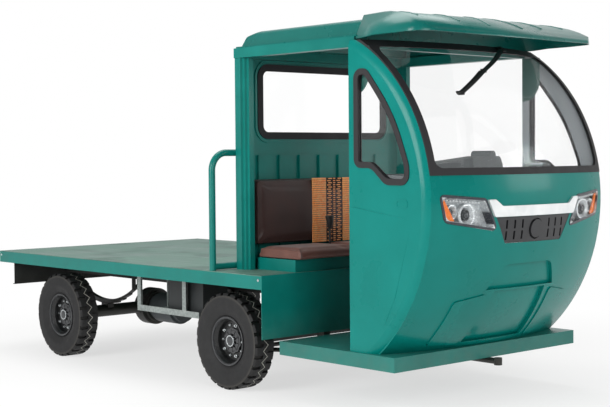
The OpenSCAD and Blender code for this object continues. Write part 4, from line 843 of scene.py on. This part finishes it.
# Dark grey shiny plastic in the middle of each bowl: painted shade, so that the bowls have a deep middle.
lamp_painted_shade = finish_of("lamp_plastic_painted_shade", IOR=1.49)
mottled(lamp_painted_shade, "#34383a", "#4a4f52", 8, (0.2, 0.35), 3, 0.1)
ROW_Y, ROW_Z, ROW_STEP_Y, ROW_STEP_Z, ROW_LIGHTS, ROW_DEEP = 448, 1192, 21, 2.0, 11, -16
DOT_R, DOT_LONG, DOT_RIM, DOT_CROWN = 0.0055, 0.006, 0.002, 0.002
AMBER_Y, AMBER_LEAN, AMBER_WIDE, AMBER_TAPER = 612, 68, 54, 30
AMBER_Z, AMBER_TALL, AMBER_THICK, AMBER_DEEP = 1098, 118, 0.008, -12
BOWLS = ((525, 1128, 62), (624, 1146, 40))
PROJECTOR_R, PROJECTOR_LONG, PROJECTOR_BOWL, PROJECTOR_DEEP = 0.030, 0.03, 62, -38
PROJECTOR_STEPS = (inset(0.006), extrude(-0.006), inset(0.006), extrude(0.009),
                   inset(0.008), shift(0, 0, 0.004))
for hand, side in SIDES.items():
    dot = begin(bpy.ops.mesh.primitive_cylinder_add, vertices=10, radius=DOT_R, depth=DOT_LONG)
    shape(dot, upward, inset(DOT_RIM), shift(0, 0, DOT_CROWN))
    repeat(dot, [turned_out(side * (ROW_Y + ROW_STEP_Y * k), ROW_Z + ROW_STEP_Z * k, ROW_DEEP)
                 for k in range(ROW_LIGHTS)])
    settle(dot, "lamp_row_" + hand, bright_bulb, "chassis", 60)

    strip = begin(bpy.ops.mesh.primitive_grid_add, x_subdivisions=6, y_subdivisions=24, size=1.0)
    for vertex in strip.data.vertices:
        rise, width = vertex.co.y + 0.5, vertex.co.x + 0.5
        y = AMBER_Y + AMBER_LEAN * rise + width * (AMBER_WIDE - AMBER_TAPER * rise)
        vertex.co = on_front(side * y, AMBER_Z + AMBER_TALL * rise, AMBER_DEEP)
    harden(strip, "SOLIDIFY", thickness=AMBER_THICK, offset=0.0)
    ease(strip, 0.0015)
    settle(strip, "lamp_amber_" + hand, amber, "chassis", 40)

    bulb = begin(bpy.ops.mesh.primitive_cylinder_add, vertices=36, radius=PROJECTOR_R, depth=PROJECTOR_LONG)
    shape(bulb, upward, *PROJECTOR_STEPS)
    ease(bulb, 0.0012)
    repeat(bulb, [turned_out(side * y, z, PROJECTOR_DEEP) @ Matrix.Scale(r / PROJECTOR_BOWL, 4)
                  for y, z, r in BOWLS])
    settle(bulb, "lamp_projectors_" + hand, lamp_painted_shade, "chassis")


# Grille and bright bar: a black moulded grille with open slots and a blank boss, and over it
# a plated bar that reaches from lamp to lamp.

# Moulded ABS: charcoal with a fine grain and a dull sheen.
grille_abs = finish_of("black_grille_abs", IOR=1.53)
mottled(grille_abs, "#232426", "#2e2f32", 60, (0.4, 0.52), 1.2, 0.1)
dress(grille_abs, "grille")
# Plated plastic: mirror-like metal mixed with a diffuse near-white, which is a painted reflection of the bright
# studio, with a slight waviness from the moulding.
chrome_and_painted_white = finish_of("plated_chrome_and_painted_white", Metallic=0.45)
mottled(chrome_and_painted_white, "#e6eaeb", "#f8fafa", 120, (0.05, 0.1), 60, 0.2)
dress(chrome_and_painted_white, "grille_bar")


# Wiper: a pressed steel arm with a rubber blade on its outer half,
# on a spindle through the front panel.

# Satin black paint on thin steel: dark and even, with a low sheen.
wiper_black = finish_of("satin_black_wiper_paint", IOR=1.5)
mottled(wiper_black, "#101111", "#1a1b1b", 30, (0.42, 0.6), 1, 0.05)
dress(wiper_black, "wiper")


# Tail lamps: red acrylic lenses with fine upright flutes inside,
# moulded and screwed to the rear board.

# Moulded acrylic: deep red and glossy, broken into upright lines by its flutes.
TAIL_FLUTE_PITCH = 0.008
red_lens = finish_of("red_lens_acrylic", IOR=1.49, Coat_Weight=0.3)
mottled(red_lens, "#7d0f10", "#a81b1a", 30, (0.14, 0.24), 3, 0.05)
tail_at = add(red_lens, "SeparateXYZ", {0: add(red_lens, "TexCoord").outputs["Object"]}).outputs
tail_bump = add(red_lens, "Bump", {
    "Height": waves(red_lens, tail_at["Y"], TAIL_FLUTE_PITCH), "Strength": 0.5, "Distance": 0.001})
feed(red_lens, "Normal", tail_bump.outputs[0])
dress(red_lens, "tail_lamps")
